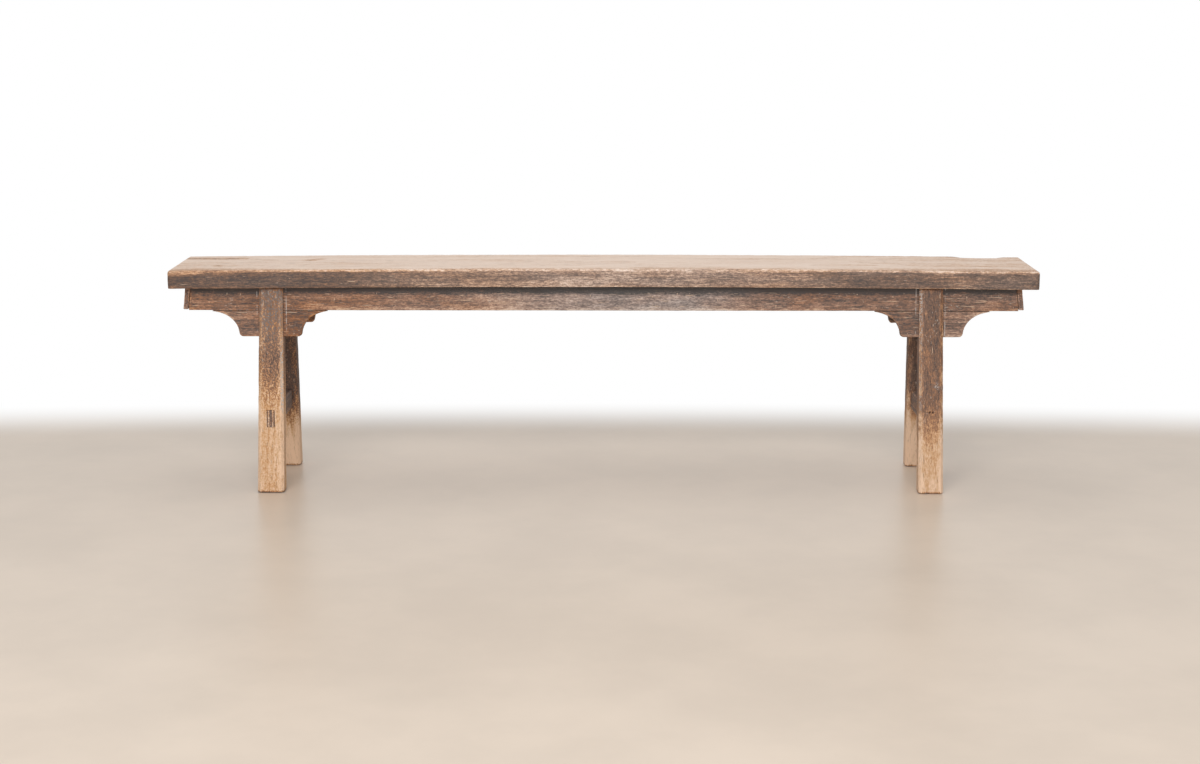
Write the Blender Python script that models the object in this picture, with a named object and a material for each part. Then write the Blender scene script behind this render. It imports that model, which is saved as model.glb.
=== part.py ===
"""Backless plank bench, put together with wooden joints only.

Metres, +Z up. The origin is on the floor under the middle of the bench, X runs along the
seat and -Y is the front. Four splayed legs are slotted at the top like a clothes peg. Each
slot clasps an apron with its spandrel below it, and the two cheeks end in tenons that stand
in blind mortises under the seat. A stretcher with wedged through tenons joins each front
leg to the back leg behind it, and an end board closes the apron frame at each end. The
front right tenon stops inside its leg, and two nails hold it instead of a wedge.
"""

import math

import bmesh
import bpy

# Clearance that is left all round a piece where it meets its neighbour
FIT_GAP = 0.0003

# Seat plank
SEAT_LENGTH = 1.930
SEAT_WIDTH = 0.240
SEAT_THICKNESS = 0.042
SEAT_END_HEIGHT = 0.4985  # floor to the top of the plank at its ends
SEAT_CAMBER = 0.0055  # how far the plank bows up in the middle
SEAT_ARRIS = 0.004  # rounding of the worn edges
SEAT_SEGMENTS = 15  # odd, so that the middle stretch of the top is level
ARRIS_SEGMENTS = 3

# Legs, hand-made and a little unlike one another
LEFT_LEG_INSET = 0.2275  # end of the seat to the middle of the leg's top
RIGHT_LEG_INSET = 0.2375
FRONT_LEFT_LEG_TOP_WIDTH = 0.054
FRONT_LEFT_LEG_FOOT_WIDTH = 0.0605
FRONT_RIGHT_LEG_TOP_WIDTH = 0.0535
FRONT_RIGHT_LEG_FOOT_WIDTH = 0.0565
BACK_LEFT_LEG_TOP_WIDTH = 0.046
BACK_LEFT_LEG_FOOT_WIDTH = 0.055
BACK_RIGHT_LEG_TOP_WIDTH = 0.044
BACK_RIGHT_LEG_FOOT_WIDTH = 0.044
LEG_DEPTH = 0.042
LEG_SETBACK = 0.013  # long edge of the seat to the leg's outer face, under the seat
LEG_SPLAY = 0.043  # how far a foot stands out past its leg's top, across the bench
LEG_SIDE_SPLAY = 0.007  # the same along the bench
LEG_CHAMFER = 0.006

# Tenons on the two cheeks of each leg, in the seat's blind mortises
SEAT_TENON_WIDTH = 0.030
SEAT_TENON_HEIGHT = 0.024
SEAT_TENON_SHOULDER = 0.0015  # cheek left bare on each side of its tenon
SEAT_TENON_ROOT = 0.006  # how far the tenon's sides carry on inside the cheek
MORTISE_END_GAP = 0.001

# Aprons
APRON_HEIGHT = 0.051
APRON_THICKNESS = 0.018
APRON_RECESS = 0.011  # leg's outer face to the apron's outer face

# Spandrels, with a longer wing towards the bench's end
SPANDREL_DROP = 0.058
SPANDREL_OUTER_TOP_REACH = 0.132
SPANDREL_OUTER_FOOT_REACH = 0.073
SPANDREL_INNER_TOP_REACH = 0.123
SPANDREL_INNER_FOOT_REACH = 0.066
SPANDREL_TIP = 0.0015  # blunt end of a wing where it runs out under the apron
SPANDREL_CORNER = 0.008
COVE_SHOULDER = 0.010  # drop and stand-off of the bend that the cove turns about
COVE_SHOULDER_REACH = 0.006
COVE_STEPS = 9
CORNER_STEPS = 4

# End boards
END_OVERHANG = 0.0345  # end of the seat to the end board's outer face, under the seat
END_BOARD_THICKNESS = 0.012
END_BOARD_HEIGHT = 0.048
END_BOARD_LEAN = 0.097  # outward run for each unit of drop

# Stretchers and their wedged through tenons
STRETCHER_HEIGHT = 0.167  # floor to the middle of the stretcher
STRETCHER_WIDTH = 0.026
STRETCHER_DEPTH = 0.044
STRETCHER_TENON_WIDTH = 0.017
STRETCHER_TENON_DEPTH = 0.038
WEDGE_LENGTH = 0.030
WEDGE_HEAD = 0.0045
WEDGE_TIP = 0.0015

# The stopped tenon and its two nails
STOPPED_TENON = ("front", "right")
TENON_COVER = 0.010  # leg left in front of the stopped tenon
NAIL_LENGTH = 0.030
NAIL_RADIUS = 0.0011
NAIL_HEAD_RADIUS = 0.0018
NAIL_HEAD = 0.0012
NAIL_SINK = 0.0006  # how far a nail's head lies below the leg's face
NAIL_SPACING = 0.0066
NAIL_RISE = 0.016  # middle of the stretcher to the nails

# Hidden dowels between apron and spandrel, and bamboo pins through the end boards
DOWEL_RADIUS = 0.003
DOWEL_LENGTH = 0.024
PIN_RADIUS = 0.0025
PIN_LENGTH = 0.034
PIN_SINK = 0.0005  # how far a pin's head lies below the board's face
PIN_SPACING = 0.022
ROUND_SIDES = 12

# Worked out from the sizes above
SEAT_BOTTOM = SEAT_END_HEIGHT - SEAT_THICKNESS
SPLAY_RUN = LEG_SPLAY / SEAT_BOTTOM
SPLAY_ANGLE = math.atan(SPLAY_RUN)
LEG_SECTION = LEG_DEPTH / math.cos(SPLAY_ANGLE)  # the leg's depth on a level cut
LEG_OUTER_Y = SEAT_WIDTH / 2 - LEG_SETBACK  # outer face at the seat's underside
LEG_MIDDLE_Y = LEG_OUTER_Y - LEG_SECTION / 2
APRON_MIDDLE_Y = LEG_OUTER_Y - (APRON_RECESS + APRON_THICKNESS / 2) / math.cos(SPLAY_ANGLE)
SPANDREL_TOP = -APRON_HEIGHT - FIT_GAP
SPANDREL_FOOT = SPANDREL_TOP - SPANDREL_DROP

# name: direction along the bench, and leg inset
SIDES = {"left": (-1, LEFT_LEG_INSET), "right": (1, RIGHT_LEG_INSET)}
# name: direction across the bench
FACES = {"front": -1, "back": 1}
# face and side: width of the leg at the top, and at the foot
LEG_WIDTHS = {
    ("front", "left"): (FRONT_LEFT_LEG_TOP_WIDTH, FRONT_LEFT_LEG_FOOT_WIDTH),
    ("front", "right"): (FRONT_RIGHT_LEG_TOP_WIDTH, FRONT_RIGHT_LEG_FOOT_WIDTH),
    ("back", "left"): (BACK_LEFT_LEG_TOP_WIDTH, BACK_LEFT_LEG_FOOT_WIDTH),
    ("back", "right"): (BACK_RIGHT_LEG_TOP_WIDTH, BACK_RIGHT_LEG_FOOT_WIDTH),
}

# name: base colour, roughness, metallic
FINISHES = {
    "seat_wood": ((0.40, 0.31, 0.23, 1.0), 0.62, 0.0),
    "apron_wood": ((0.13, 0.085, 0.060, 1.0), 0.58, 0.0),
    "leg_wood": ((0.32, 0.21, 0.13, 1.0), 0.62, 0.0),
    "stretcher_wood": ((0.15, 0.10, 0.070, 1.0), 0.64, 0.0),
    "wedge_wood": ((0.42, 0.30, 0.20, 1.0), 0.66, 0.0),
    "bamboo": ((0.38, 0.27, 0.15, 1.0), 0.55, 0.0),
    "nail_iron": ((0.09, 0.045, 0.030, 1.0), 0.75, 0.6),
}


# The bench's own lines
def camber(x):
    """Rise of the seat's underside at x above its height at the ends."""
    return SEAT_CAMBER * (1 - (2 * x / SEAT_LENGTH) ** 2)


def splayed(z):
    """Share of the full splay that a leg has reached at height z."""
    return (SEAT_BOTTOM - z) / SEAT_BOTTOM


def leg_x(side, z):
    """Middle of a leg along the bench at height z."""
    direction, inset = SIDES[side]
    return direction * (SEAT_LENGTH / 2 - inset + LEG_SIDE_SPLAY * splayed(z))


def leg_outer_y(z):
    """Distance of a leg's outer face from the bench's middle plane at height z."""
    return LEG_OUTER_Y + LEG_SPLAY * splayed(z)


def end_board_x(z, depth):
    """Distance of the end board's face from the bench's middle, depth inside its outer face."""
    return SEAT_LENGTH / 2 - END_OVERHANG - depth + END_BOARD_LEAN * (SEAT_BOTTOM - z)


def seat_stations():
    """Places along the seat where its camber bends."""
    step = SEAT_LENGTH / SEAT_SEGMENTS
    return [-SEAT_LENGTH / 2 + step * i for i in range(SEAT_SEGMENTS + 1)]


# Blender helpers
def clear_scene():
    for obj in list(bpy.data.objects):
        bpy.data.objects.remove(obj, do_unlink=True)


def finish_material(name):
    material = bpy.data.materials.get(name)
    if material is None:
        colour, roughness, metallic = FINISHES[name]
        material = bpy.data.materials.new(name)
        material.use_nodes = True
        shader = material.node_tree.nodes["Principled BSDF"]
        shader.inputs["Base Color"].default_value = colour
        shader.inputs["Roughness"].default_value = roughness
        shader.inputs["Metallic"].default_value = metallic
        material.diffuse_color = colour
    return material


def empty(name, parent=None, location=(0, 0, 0), tilt=0.0):
    obj = bpy.data.objects.new(name, None)
    bpy.context.scene.collection.objects.link(obj)
    obj.parent = parent
    obj.location = location
    obj.rotation_euler = (tilt, 0, 0)
    return obj


def solid(name, bm, parent, location=(0, 0, 0), finish=None):
    """Makes a closed mesh a piece of the bench, or a hidden cutter if it has no finish."""
    bm.normal_update()
    bmesh.ops.recalc_face_normals(bm, faces=bm.faces)
    mesh = bpy.data.meshes.new(name)
    bm.to_mesh(mesh)
    bm.free()
    obj = bpy.data.objects.new(name, mesh)
    bpy.context.scene.collection.objects.link(obj)
    obj.parent = parent
    obj.location = location
    if finish:
        mesh.materials.append(finish_material(finish))
    else:
        obj.hide_render = True
        obj.display_type = "WIRE"
    return obj


def loft(rings):
    """A closed mesh through rings of equally many points."""
    bm = bmesh.new()
    loops = [[bm.verts.new(point) for point in ring] for ring in rings]
    count = len(loops[0])
    for near, far in zip(loops, loops[1:]):
        for i in range(count):
            j = (i + 1) % count
            bm.faces.new((near[i], near[j], far[j], far[i]))
    bm.faces.new(loops[0][::-1])
    bm.faces.new(loops[-1])
    return bm


def box(x_range, y_range, z_range):
    corners = ((0, 0), (1, 0), (1, 1), (0, 1))
    return loft([[(x_range[i], y_range[j], z) for i, j in corners] for z in z_range])


def turned(profile, axis):
    """A round bar along X, Y or Z (axis 0, 1 or 2) through (place on the axis, radius) points."""
    rings = []
    for along, radius in profile:
        ring = []
        for i in range(ROUND_SIDES):
            angle = 2 * math.pi * i / ROUND_SIDES
            point = [radius * math.cos(angle), radius * math.sin(angle)]
            point.insert(axis, along)
            ring.append(point)
        rings.append(ring)
    return loft(rings)


def bar(radius, length, axis):
    """A plain round bar about the origin."""
    return turned([(-length / 2, radius), (length / 2, radius)], axis)


def round_off(obj):
    obj.data.shade_smooth()
    obj.data.set_sharp_from_angle(angle=math.radians(40))


def cut(piece, cutter):
    modifier = piece.modifiers.new("cut " + cutter.name, "BOOLEAN")
    modifier.operation = "DIFFERENCE"
    modifier.object = cutter


def join(piece, addition):
    modifier = piece.modifiers.new("join " + addition.name, "BOOLEAN")
    modifier.operation = "UNION"
    modifier.object = addition


# Seat
def make_seat(bench):
    """The plank, bowed a little along its length. Its mortises are cut when the legs are made."""
    half = SEAT_WIDTH / 2
    profile = [(-half, 0), (half, 0), (half, SEAT_THICKNESS), (-half, SEAT_THICKNESS)]
    bm = loft([[(x, y, z + camber(x)) for y, z in profile] for x in seat_stations()])
    seat = solid("seat_plank", bm, bench, (0, 0, SEAT_BOTTOM), "seat_wood")
    bevel = seat.modifiers.new("worn edges", "BEVEL")
    bevel.width = SEAT_ARRIS
    bevel.segments = ARRIS_SEGMENTS
    bevel.limit_method = "ANGLE"
    bevel.angle_limit = math.radians(60)
    return seat


# Apron frame
def make_apron(face, plane, tilt):
    """One long rail. Its top is cut level to fit under the seat, its ends to fit the end boards."""
    half = APRON_THICKNESS / 2

    def top(x, y):
        return (camber(x) - FIT_GAP - y * math.sin(tilt)) / math.cos(tilt)

    def ring(x):
        return [
            (x, -half, -APRON_HEIGHT),
            (x, half, -APRON_HEIGHT),
            (x, half, top(x, half)),
            (x, -half, top(x, -half)),
        ]

    def end_ring(direction):
        points = []
        for x, y, z in ring(direction * end_board_x(SEAT_BOTTOM, END_BOARD_THICKNESS)):
            height = SEAT_BOTTOM + y * math.sin(tilt) + z * math.cos(tilt)
            points.append((direction * (end_board_x(height, END_BOARD_THICKNESS) - FIT_GAP), y, z))
        return points

    reach = end_board_x(SEAT_BOTTOM, 2 * END_BOARD_THICKNESS)
    inner = [ring(x) for x in seat_stations() if abs(x) < reach]
    return solid("apron_" + face, loft([end_ring(-1), *inner, end_ring(1)]), plane, finish="apron_wood")


def cove(top_reach, foot_reach):
    """The edge of one spandrel wing, from its tip down to its foot, as (reach, drop) points."""
    start = (top_reach, SPANDREL_TIP)
    bend = (foot_reach + COVE_SHOULDER_REACH, COVE_SHOULDER)
    end = (foot_reach, SPANDREL_DROP - SPANDREL_CORNER)
    points = [(top_reach, 0.0)]
    for i in range(COVE_STEPS + 1):
        t = i / COVE_STEPS
        a, b, c = (1 - t) ** 2, 2 * t * (1 - t), t**2
        points.append(tuple(a * s + b * m + c * e for s, m, e in zip(start, bend, end)))
    for i in range(1, CORNER_STEPS + 1):
        angle = math.pi / 2 * i / CORNER_STEPS
        reach = foot_reach - SPANDREL_CORNER * (1 - math.cos(angle))
        drop = SPANDREL_DROP - SPANDREL_CORNER * (1 - math.sin(angle))
        points.append((reach, drop))
    return points


def make_spandrel(face, side, plane):
    """A bracket board through the leg's slot, with a cove on each side of the leg."""
    direction = SIDES[side][0]
    outer = cove(SPANDREL_OUTER_TOP_REACH, SPANDREL_OUTER_FOOT_REACH)
    inner = cove(SPANDREL_INNER_TOP_REACH, SPANDREL_INNER_FOOT_REACH)
    outline = [(direction * reach, -drop) for reach, drop in outer]
    outline += [(-direction * reach, -drop) for reach, drop in reversed(inner)]
    half = APRON_THICKNESS / 2
    bm = loft([[(x, y, z) for x, z in outline] for y in (-half, half)])
    place = (leg_x(side, SEAT_BOTTOM), 0, SPANDREL_TOP)
    return solid(f"spandrel_{face}_{side}", bm, plane, place, "apron_wood")


def make_dowels(face, side, plane, apron, spandrel):
    """A dowel in each wing, half in the apron and half in the spandrel."""
    direction = SIDES[side][0]
    top_width = LEG_WIDTHS[face, side][0]
    for wing, sign, reach in (
        ("outer", direction, SPANDREL_OUTER_FOOT_REACH),
        ("inner", -direction, SPANDREL_INNER_FOOT_REACH),
    ):
        x = leg_x(side, SEAT_BOTTOM) + sign * (top_width / 2 + reach) / 2
        place = (x, 0, SPANDREL_TOP + FIT_GAP / 2)
        name = f"dowel_{face}_{side}_{wing}"
        dowel = solid(name, bar(DOWEL_RADIUS, DOWEL_LENGTH, 2), plane, place, "bamboo")
        round_off(dowel)
        hole = bar(DOWEL_RADIUS + FIT_GAP, DOWEL_LENGTH + 2 * FIT_GAP, 2)
        hole = solid("hole_" + name, hole, plane, place)
        cut(apron, hole)
        cut(spandrel, hole)


def make_end_board(side, bench):
    """The board across the ends of both aprons, leaning out towards its foot."""
    direction = SIDES[side][0]
    half = APRON_THICKNESS / 2 / math.cos(SPLAY_ANGLE)
    rings = []
    for x_depth in (0, END_BOARD_THICKNESS):
        ring = []
        for z, y_sign in (
            (SEAT_BOTTOM - FIT_GAP, -1),
            (SEAT_BOTTOM - FIT_GAP, 1),
            (SEAT_BOTTOM - END_BOARD_HEIGHT, 1),
            (SEAT_BOTTOM - END_BOARD_HEIGHT, -1),
        ):
            y = y_sign * (APRON_MIDDLE_Y + half + SPLAY_RUN * (SEAT_BOTTOM - z))
            ring.append((direction * end_board_x(z, x_depth), y, z))
        rings.append(ring)
    return solid("end_board_" + side, loft(rings), bench, finish="apron_wood")


def make_pins(face, side, bench, board, apron):
    """Two bamboo pins through the end board into the end of one apron."""
    direction = SIDES[side][0]
    middle = SEAT_BOTTOM - END_BOARD_HEIGHT / 2
    for level, offset in (("upper", PIN_SPACING / 2), ("lower", -PIN_SPACING / 2)):
        z = middle + offset
        y = FACES[face] * (APRON_MIDDLE_Y + SPLAY_RUN * (SEAT_BOTTOM - z))
        x = direction * (end_board_x(z, PIN_SINK) - PIN_LENGTH / 2)
        name = f"pin_{face}_{side}_{level}"
        pin = solid(name, bar(PIN_RADIUS, PIN_LENGTH, 0), bench, (x, y, z), "bamboo")
        round_off(pin)
        past = END_BOARD_THICKNESS  # the hole's cutter starts this far outside the board
        bore = bar(PIN_RADIUS + FIT_GAP, PIN_LENGTH + FIT_GAP + past, 0)
        place = (x + direction * (past - FIT_GAP) / 2, y, z)
        bore = solid("hole_" + name, bore, bench, place)
        cut(board, bore)
        cut(apron, bore)


# Legs
def leg_section(side, face, z, width):
    """A level cut through a leg, as a rectangle with its corners taken off."""
    direction = SIDES[side][0]
    middle_x = direction * LEG_SIDE_SPLAY * splayed(z)
    middle_y = FACES[face] * LEG_SPLAY * splayed(z)
    a, b, c = width / 2, LEG_SECTION / 2, LEG_CHAMFER
    corners = [(-a + c, -b), (a - c, -b), (a, -b + c), (a, b - c)]
    corners += [(a - c, b), (-a + c, b), (-a, b - c), (-a, -b + c)]
    return [(middle_x + x, middle_y + y, z) for x, y in corners]


def cheeks(face):
    """The two cheeks of a leg at the seat's underside: name and y range from the leg's middle."""
    slot = (APRON_THICKNESS / 2 + FIT_GAP) / math.cos(SPLAY_ANGLE)
    apron = APRON_MIDDLE_Y - LEG_MIDDLE_Y
    outer = (apron + slot, LEG_SECTION / 2)
    inner = (-LEG_SECTION / 2, apron - slot)
    for name, span in (("outer", outer), ("inner", inner)):
        yield name, sorted(FACES[face] * y for y in span)


def make_leg(face, side, bench, plane, seat):
    direction = SIDES[side][0]
    top_width, foot_width = LEG_WIDTHS[face, side]
    x = leg_x(side, SEAT_BOTTOM)
    shoulder = SEAT_BOTTOM + camber(x + direction * top_width / 2) - FIT_GAP
    foot = leg_section(side, face, 0, foot_width)
    top = leg_section(side, face, shoulder, top_width)
    place = (x, FACES[face] * LEG_MIDDLE_Y, 0)
    name = f"leg_{face}_{side}"
    leg = solid(name, loft([foot, top]), bench, place, "leg_wood")

    slot = box(
        (-top_width, top_width),
        (-APRON_THICKNESS / 2 - FIT_GAP, APRON_THICKNESS / 2 + FIT_GAP),
        (SPANDREL_FOOT - FIT_GAP, SEAT_THICKNESS),
    )
    cut(leg, solid("slot_" + name, slot, plane, (x, 0, 0)))

    half = SEAT_TENON_WIDTH / 2
    for cheek, (low, high) in cheeks(face):
        span = (low + SEAT_TENON_SHOULDER, high - SEAT_TENON_SHOULDER)
        tenon = box((-half, half), span, (shoulder - SEAT_TENON_ROOT, shoulder + SEAT_TENON_HEIGHT))
        join(leg, solid(f"tenon_{cheek}_{name}", tenon, bench, place))
        mortise = box(
            (-half - FIT_GAP, half + FIT_GAP),
            (span[0] - FIT_GAP, span[1] + FIT_GAP),
            (shoulder - SEAT_TENON_ROOT, shoulder + SEAT_TENON_HEIGHT + MORTISE_END_GAP),
        )
        cut(seat, solid(f"mortise_{cheek}_{name}", mortise, bench, place))
    return leg


# Stretchers
def joint_ring(face, half_x, half_z, depth):
    """A rectangle about the stretcher's line, depth inside the leg's outer face and along its splay."""
    points = []
    for x, z in ((-half_x, -half_z), (half_x, -half_z), (half_x, half_z), (-half_x, half_z)):
        y = leg_outer_y(STRETCHER_HEIGHT + z) - depth
        points.append((x, FACES[face] * y, z))
    return points


def tenon_end(face, side):
    """Depth of a stretcher tenon's end inside the leg's outer face."""
    return TENON_COVER if (face, side) == STOPPED_TENON else 0.0


def stretcher_place(side):
    return (leg_x(side, STRETCHER_HEIGHT), 0, STRETCHER_HEIGHT)


def make_stretcher(side, bench):
    """A rail from the front leg to the back leg. Its shoulders and tenon ends follow the splay."""
    body = (STRETCHER_WIDTH / 2, STRETCHER_DEPTH / 2)
    tenon = (STRETCHER_TENON_WIDTH / 2, STRETCHER_TENON_DEPTH / 2)
    shoulder = LEG_SECTION + FIT_GAP
    rings = [
        joint_ring("front", *tenon, tenon_end("front", side)),
        joint_ring("front", *tenon, shoulder),
        joint_ring("front", *body, shoulder),
        joint_ring("back", *body, shoulder),
        joint_ring("back", *tenon, shoulder),
        joint_ring("back", *tenon, tenon_end("back", side)),
    ]
    return solid("stretcher_" + side, loft(rings), bench, stretcher_place(side), "stretcher_wood")


def cut_stretcher_mortise(face, side, bench, leg):
    """The hole for the tenon: right through the leg, or stopped just past the tenon's end."""
    half_x = STRETCHER_TENON_WIDTH / 2 + FIT_GAP
    half_z = STRETCHER_TENON_DEPTH / 2 + FIT_GAP
    stopped = (face, side) == STOPPED_TENON
    outer = TENON_COVER - MORTISE_END_GAP if stopped else -LEG_CHAMFER
    inner = LEG_SECTION + LEG_CHAMFER
    hole = loft([joint_ring(face, half_x, half_z, depth) for depth in (outer, inner)])
    cut(leg, solid(f"mortise_{face}_{side}", hole, bench, stretcher_place(side)))


def make_wedge(face, side, bench, stretcher):
    """The wedge in the saw kerf of a through tenon."""
    half = STRETCHER_TENON_DEPTH / 2
    head, tip = WEDGE_HEAD / 2, WEDGE_TIP / 2
    rings = [joint_ring(face, head, half, 0), joint_ring(face, tip, half, WEDGE_LENGTH)]
    place = stretcher_place(side)
    solid(f"wedge_{face}_{side}", loft(rings), bench, place, "wedge_wood")
    past = WEDGE_HEAD  # the kerf's cutter sticks out this far, and widens as the wedge does
    flare = (head - tip) * past / WEDGE_LENGTH
    kerf = loft(
        [
            joint_ring(face, head + flare + FIT_GAP, half + past, -past),
            joint_ring(face, tip + FIT_GAP, half + past, WEDGE_LENGTH + FIT_GAP),
        ]
    )
    cut(stretcher, solid(f"kerf_{face}_{side}", kerf, bench, place))


def nail_profile(direction, grow, past):
    """A nail from its head inwards. A cutter is larger all round and starts outside the leg's face."""
    points = [
        (-past, NAIL_HEAD_RADIUS),
        (NAIL_HEAD + grow, NAIL_HEAD_RADIUS),
        (NAIL_HEAD + grow, NAIL_RADIUS),
        (NAIL_LENGTH + grow, NAIL_RADIUS),
    ]
    return [(-direction * along, radius + grow) for along, radius in points]


def make_nails(face, side, bench, leg, stretcher):
    """Two nails through the leg into the stopped tenon."""
    z = STRETCHER_HEIGHT + NAIL_RISE
    y = FACES[face] * (leg_outer_y(z) - NAIL_SINK)
    for name, offset in (("left", -NAIL_SPACING / 2), ("right", NAIL_SPACING / 2)):
        place = (leg_x(side, z) + offset, y, z)
        nail = turned(nail_profile(FACES[face], 0, 0), 1)
        nail = solid(f"nail_{face}_{side}_{name}", nail, bench, place, "nail_iron")
        round_off(nail)
        hole = turned(nail_profile(FACES[face], FIT_GAP, NAIL_HEAD_RADIUS), 1)
        hole = solid("hole_" + nail.name, hole, bench, place)
        cut(leg, hole)
        cut(stretcher, hole)


def main():
    clear_scene()
    bench = empty("bench")
    seat = make_seat(bench)
    boards = {side: make_end_board(side, bench) for side in SIDES}
    stretchers = {side: make_stretcher(side, bench) for side in SIDES}
    for face, across in FACES.items():
        tilt = across * SPLAY_ANGLE
        plane = empty(f"{face}_apron_plane", bench, (0, across * APRON_MIDDLE_Y, SEAT_BOTTOM), tilt)
        apron = make_apron(face, plane, tilt)
        for side in SIDES:
            spandrel = make_spandrel(face, side, plane)
            make_dowels(face, side, plane, apron, spandrel)
            make_pins(face, side, bench, boards[side], apron)
            leg = make_leg(face, side, bench, plane, seat)
            cut_stretcher_mortise(face, side, bench, leg)
            if (face, side) == STOPPED_TENON:
                make_nails(face, side, bench, leg, stretchers[side])
            else:
                make_wedge(face, side, bench, stretchers[side])


main()
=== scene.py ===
# %% [markdown]
# # An old plank bench, from bare solids to worn wood
# The frame that is loaded here is the bench as a joiner would know it: a plank, four slotted
# legs, aprons, spandrels, end boards, stretchers and the pegs that hold them. Its solids have
# the right size and the right joints, but crisp edges and plain colours. This lesson gives the
# timbers what long use leaves: rounded arrises, chips, a check, and a dark film that is rubbed
# through to the bare wood. Nothing here moves or resizes the frame.

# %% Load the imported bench
import math
from functools import partial

import bmesh
import bpy
import numpy as np
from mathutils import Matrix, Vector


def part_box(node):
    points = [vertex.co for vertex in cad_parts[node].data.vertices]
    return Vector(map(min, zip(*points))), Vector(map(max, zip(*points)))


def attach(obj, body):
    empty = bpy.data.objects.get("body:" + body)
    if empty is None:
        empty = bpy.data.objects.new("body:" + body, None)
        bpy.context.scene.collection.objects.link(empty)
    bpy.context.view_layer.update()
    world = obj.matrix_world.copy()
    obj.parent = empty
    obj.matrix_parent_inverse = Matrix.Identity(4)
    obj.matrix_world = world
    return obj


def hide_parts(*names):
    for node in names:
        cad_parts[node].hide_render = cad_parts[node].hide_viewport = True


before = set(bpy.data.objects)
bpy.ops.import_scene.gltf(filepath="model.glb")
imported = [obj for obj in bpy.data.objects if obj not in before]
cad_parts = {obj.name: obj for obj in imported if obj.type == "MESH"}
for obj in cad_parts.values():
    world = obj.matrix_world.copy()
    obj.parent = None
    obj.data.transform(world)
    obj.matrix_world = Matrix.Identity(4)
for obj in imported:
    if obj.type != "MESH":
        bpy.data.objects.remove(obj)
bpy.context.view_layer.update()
scene = bpy.context.scene

# %% [markdown]
# ## Camera
# The photograph was taken from about 1.1 m above the floor, a little right of the middle, with a
# long lens that looks down on the seat by about eleven degrees. A plain camera with no shift gives
# that view, so the bench stays in the middle of every other view as well.

# %% Camera
CAMERA_PLACE = (0.0285, -4.491, 1.1326)
CAMERA_PITCH = math.radians(11.425)  # below level
CAMERA_YAW = math.radians(0.456)
CAMERA_LENS_MM = 60.0
SENSOR_WIDTH_MM = 36.0


def put(name, data):
    """A new object in the scene, at the origin."""
    obj = bpy.data.objects.new(name, data)
    scene.collection.objects.link(obj)
    return obj


camera_data = bpy.data.cameras.new("camera")
camera_data.lens = CAMERA_LENS_MM
camera_data.sensor_width = SENSOR_WIDTH_MM
camera = put("camera", camera_data)
camera.location = CAMERA_PLACE
camera.rotation_euler = (math.pi / 2 - CAMERA_PITCH, 0, CAMERA_YAW)
scene.camera = camera
print("camera:", CAMERA_LENS_MM, "mm at", CAMERA_PLACE)

# %% [markdown]
# ## Node helpers
# Node trees are long when each socket is linked by hand. One helper makes a node, sets its
# options, and fills its inputs with either a value or another node's output. It serves
# materials, shader groups and geometry trees alike. A socket knows the tree it belongs to, so
# the other helpers, for sums, noise, smooth steps and mixed colours, need not be told it.

# %% Node helpers
FLOAT, VECTOR = "NodeSocketFloat", "NodeSocketVector"
MIX_SHARE, MIX_FIRST, MIX_SECOND, MIXED = 0, 6, 7, 2  # a Mix node's sockets for colours


def is_socket(value):
    return isinstance(value, bpy.types.NodeSocket)


def fill(node, inputs):
    """Links each input that is given as a socket, and sets any other to its value."""
    for name, value in inputs.items():
        if is_socket(value):
            node.id_data.links.new(value, node.inputs[name])
        else:
            node.inputs[name].default_value = value


def add(tree, kind, inputs=None, **options):
    """Adds a node, sets its options and fills its inputs."""
    made = tree.nodes.new(kind)
    for name, value in options.items():
        setattr(made, name, value)
    fill(made, inputs or {})
    return made


def chain(kind, inputs, output=0, **options):
    """Adds a node to the tree that its inputs come from, and returns one of its outputs."""
    tree = next(value.id_data for value in inputs.values() if is_socket(value))
    return add(tree, kind, inputs, **options).outputs[output]


def math_node(operation, *values):
    return chain("ShaderNodeMath", dict(enumerate(values)), operation=operation)


def times(first, second):
    return math_node("MULTIPLY", first, second)


def times_plus(value, factor, rest):
    return math_node("MULTIPLY_ADD", value, factor, rest)


def total(first, *others):
    for value in others:
        first = math_node("ADD", first, value)
    return first


def vector_node(operation, *values):
    return chain("ShaderNodeVectorMath", dict(enumerate(values)), operation=operation)


def noise(vector, scale, detail=3.0, roughness=0.55, seed=None):
    """A noise value about 0.5. With a seed it is a slice of four-dimensional noise."""
    inputs = {"Vector": vector, "Scale": scale, "Detail": detail, "Roughness": roughness}
    if seed is None:
        return chain("ShaderNodeTexNoise", inputs)
    return chain("ShaderNodeTexNoise", {**inputs, "W": seed}, noise_dimensions="4D")


def grained_noise(place, sizes, seed):
    """Noise from four sizes: scale along the grain, which is X, scale across it, detail, roughness."""
    lengthwise, crosswise, detail, roughness = sizes
    stretch = vector_node("MULTIPLY", place, (lengthwise, crosswise, crosswise))
    return noise(stretch, 1.0, detail, roughness, seed)


def ramp(value, low, high, to_low=0.0, to_high=1.0):
    """A smooth step from low to high."""
    inputs = {"Value": value, "From Min": low, "From Max": high, "To Min": to_low, "To Max": to_high}
    return chain("ShaderNodeMapRange", inputs, interpolation_type="SMOOTHSTEP")


def mix_colour(share, first, second):
    inputs = {MIX_SHARE: share, MIX_FIRST: first, MIX_SECOND: second}
    return chain("ShaderNodeMix", inputs, MIXED, data_type="RGBA")


def new_group(name, kind, inputs, outputs):
    """An empty node group with named sockets, and its input and output nodes."""
    tree = bpy.data.node_groups.new(name, kind)
    for socket, socket_type, value in inputs:
        made = tree.interface.new_socket(socket, in_out="INPUT", socket_type=socket_type)
        if value is not None:
            made.default_value = value
    for socket, socket_type in outputs:
        tree.interface.new_socket(socket, in_out="OUTPUT", socket_type=socket_type)
    return tree, tree.nodes.new("NodeGroupInput"), tree.nodes.new("NodeGroupOutput")


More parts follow.
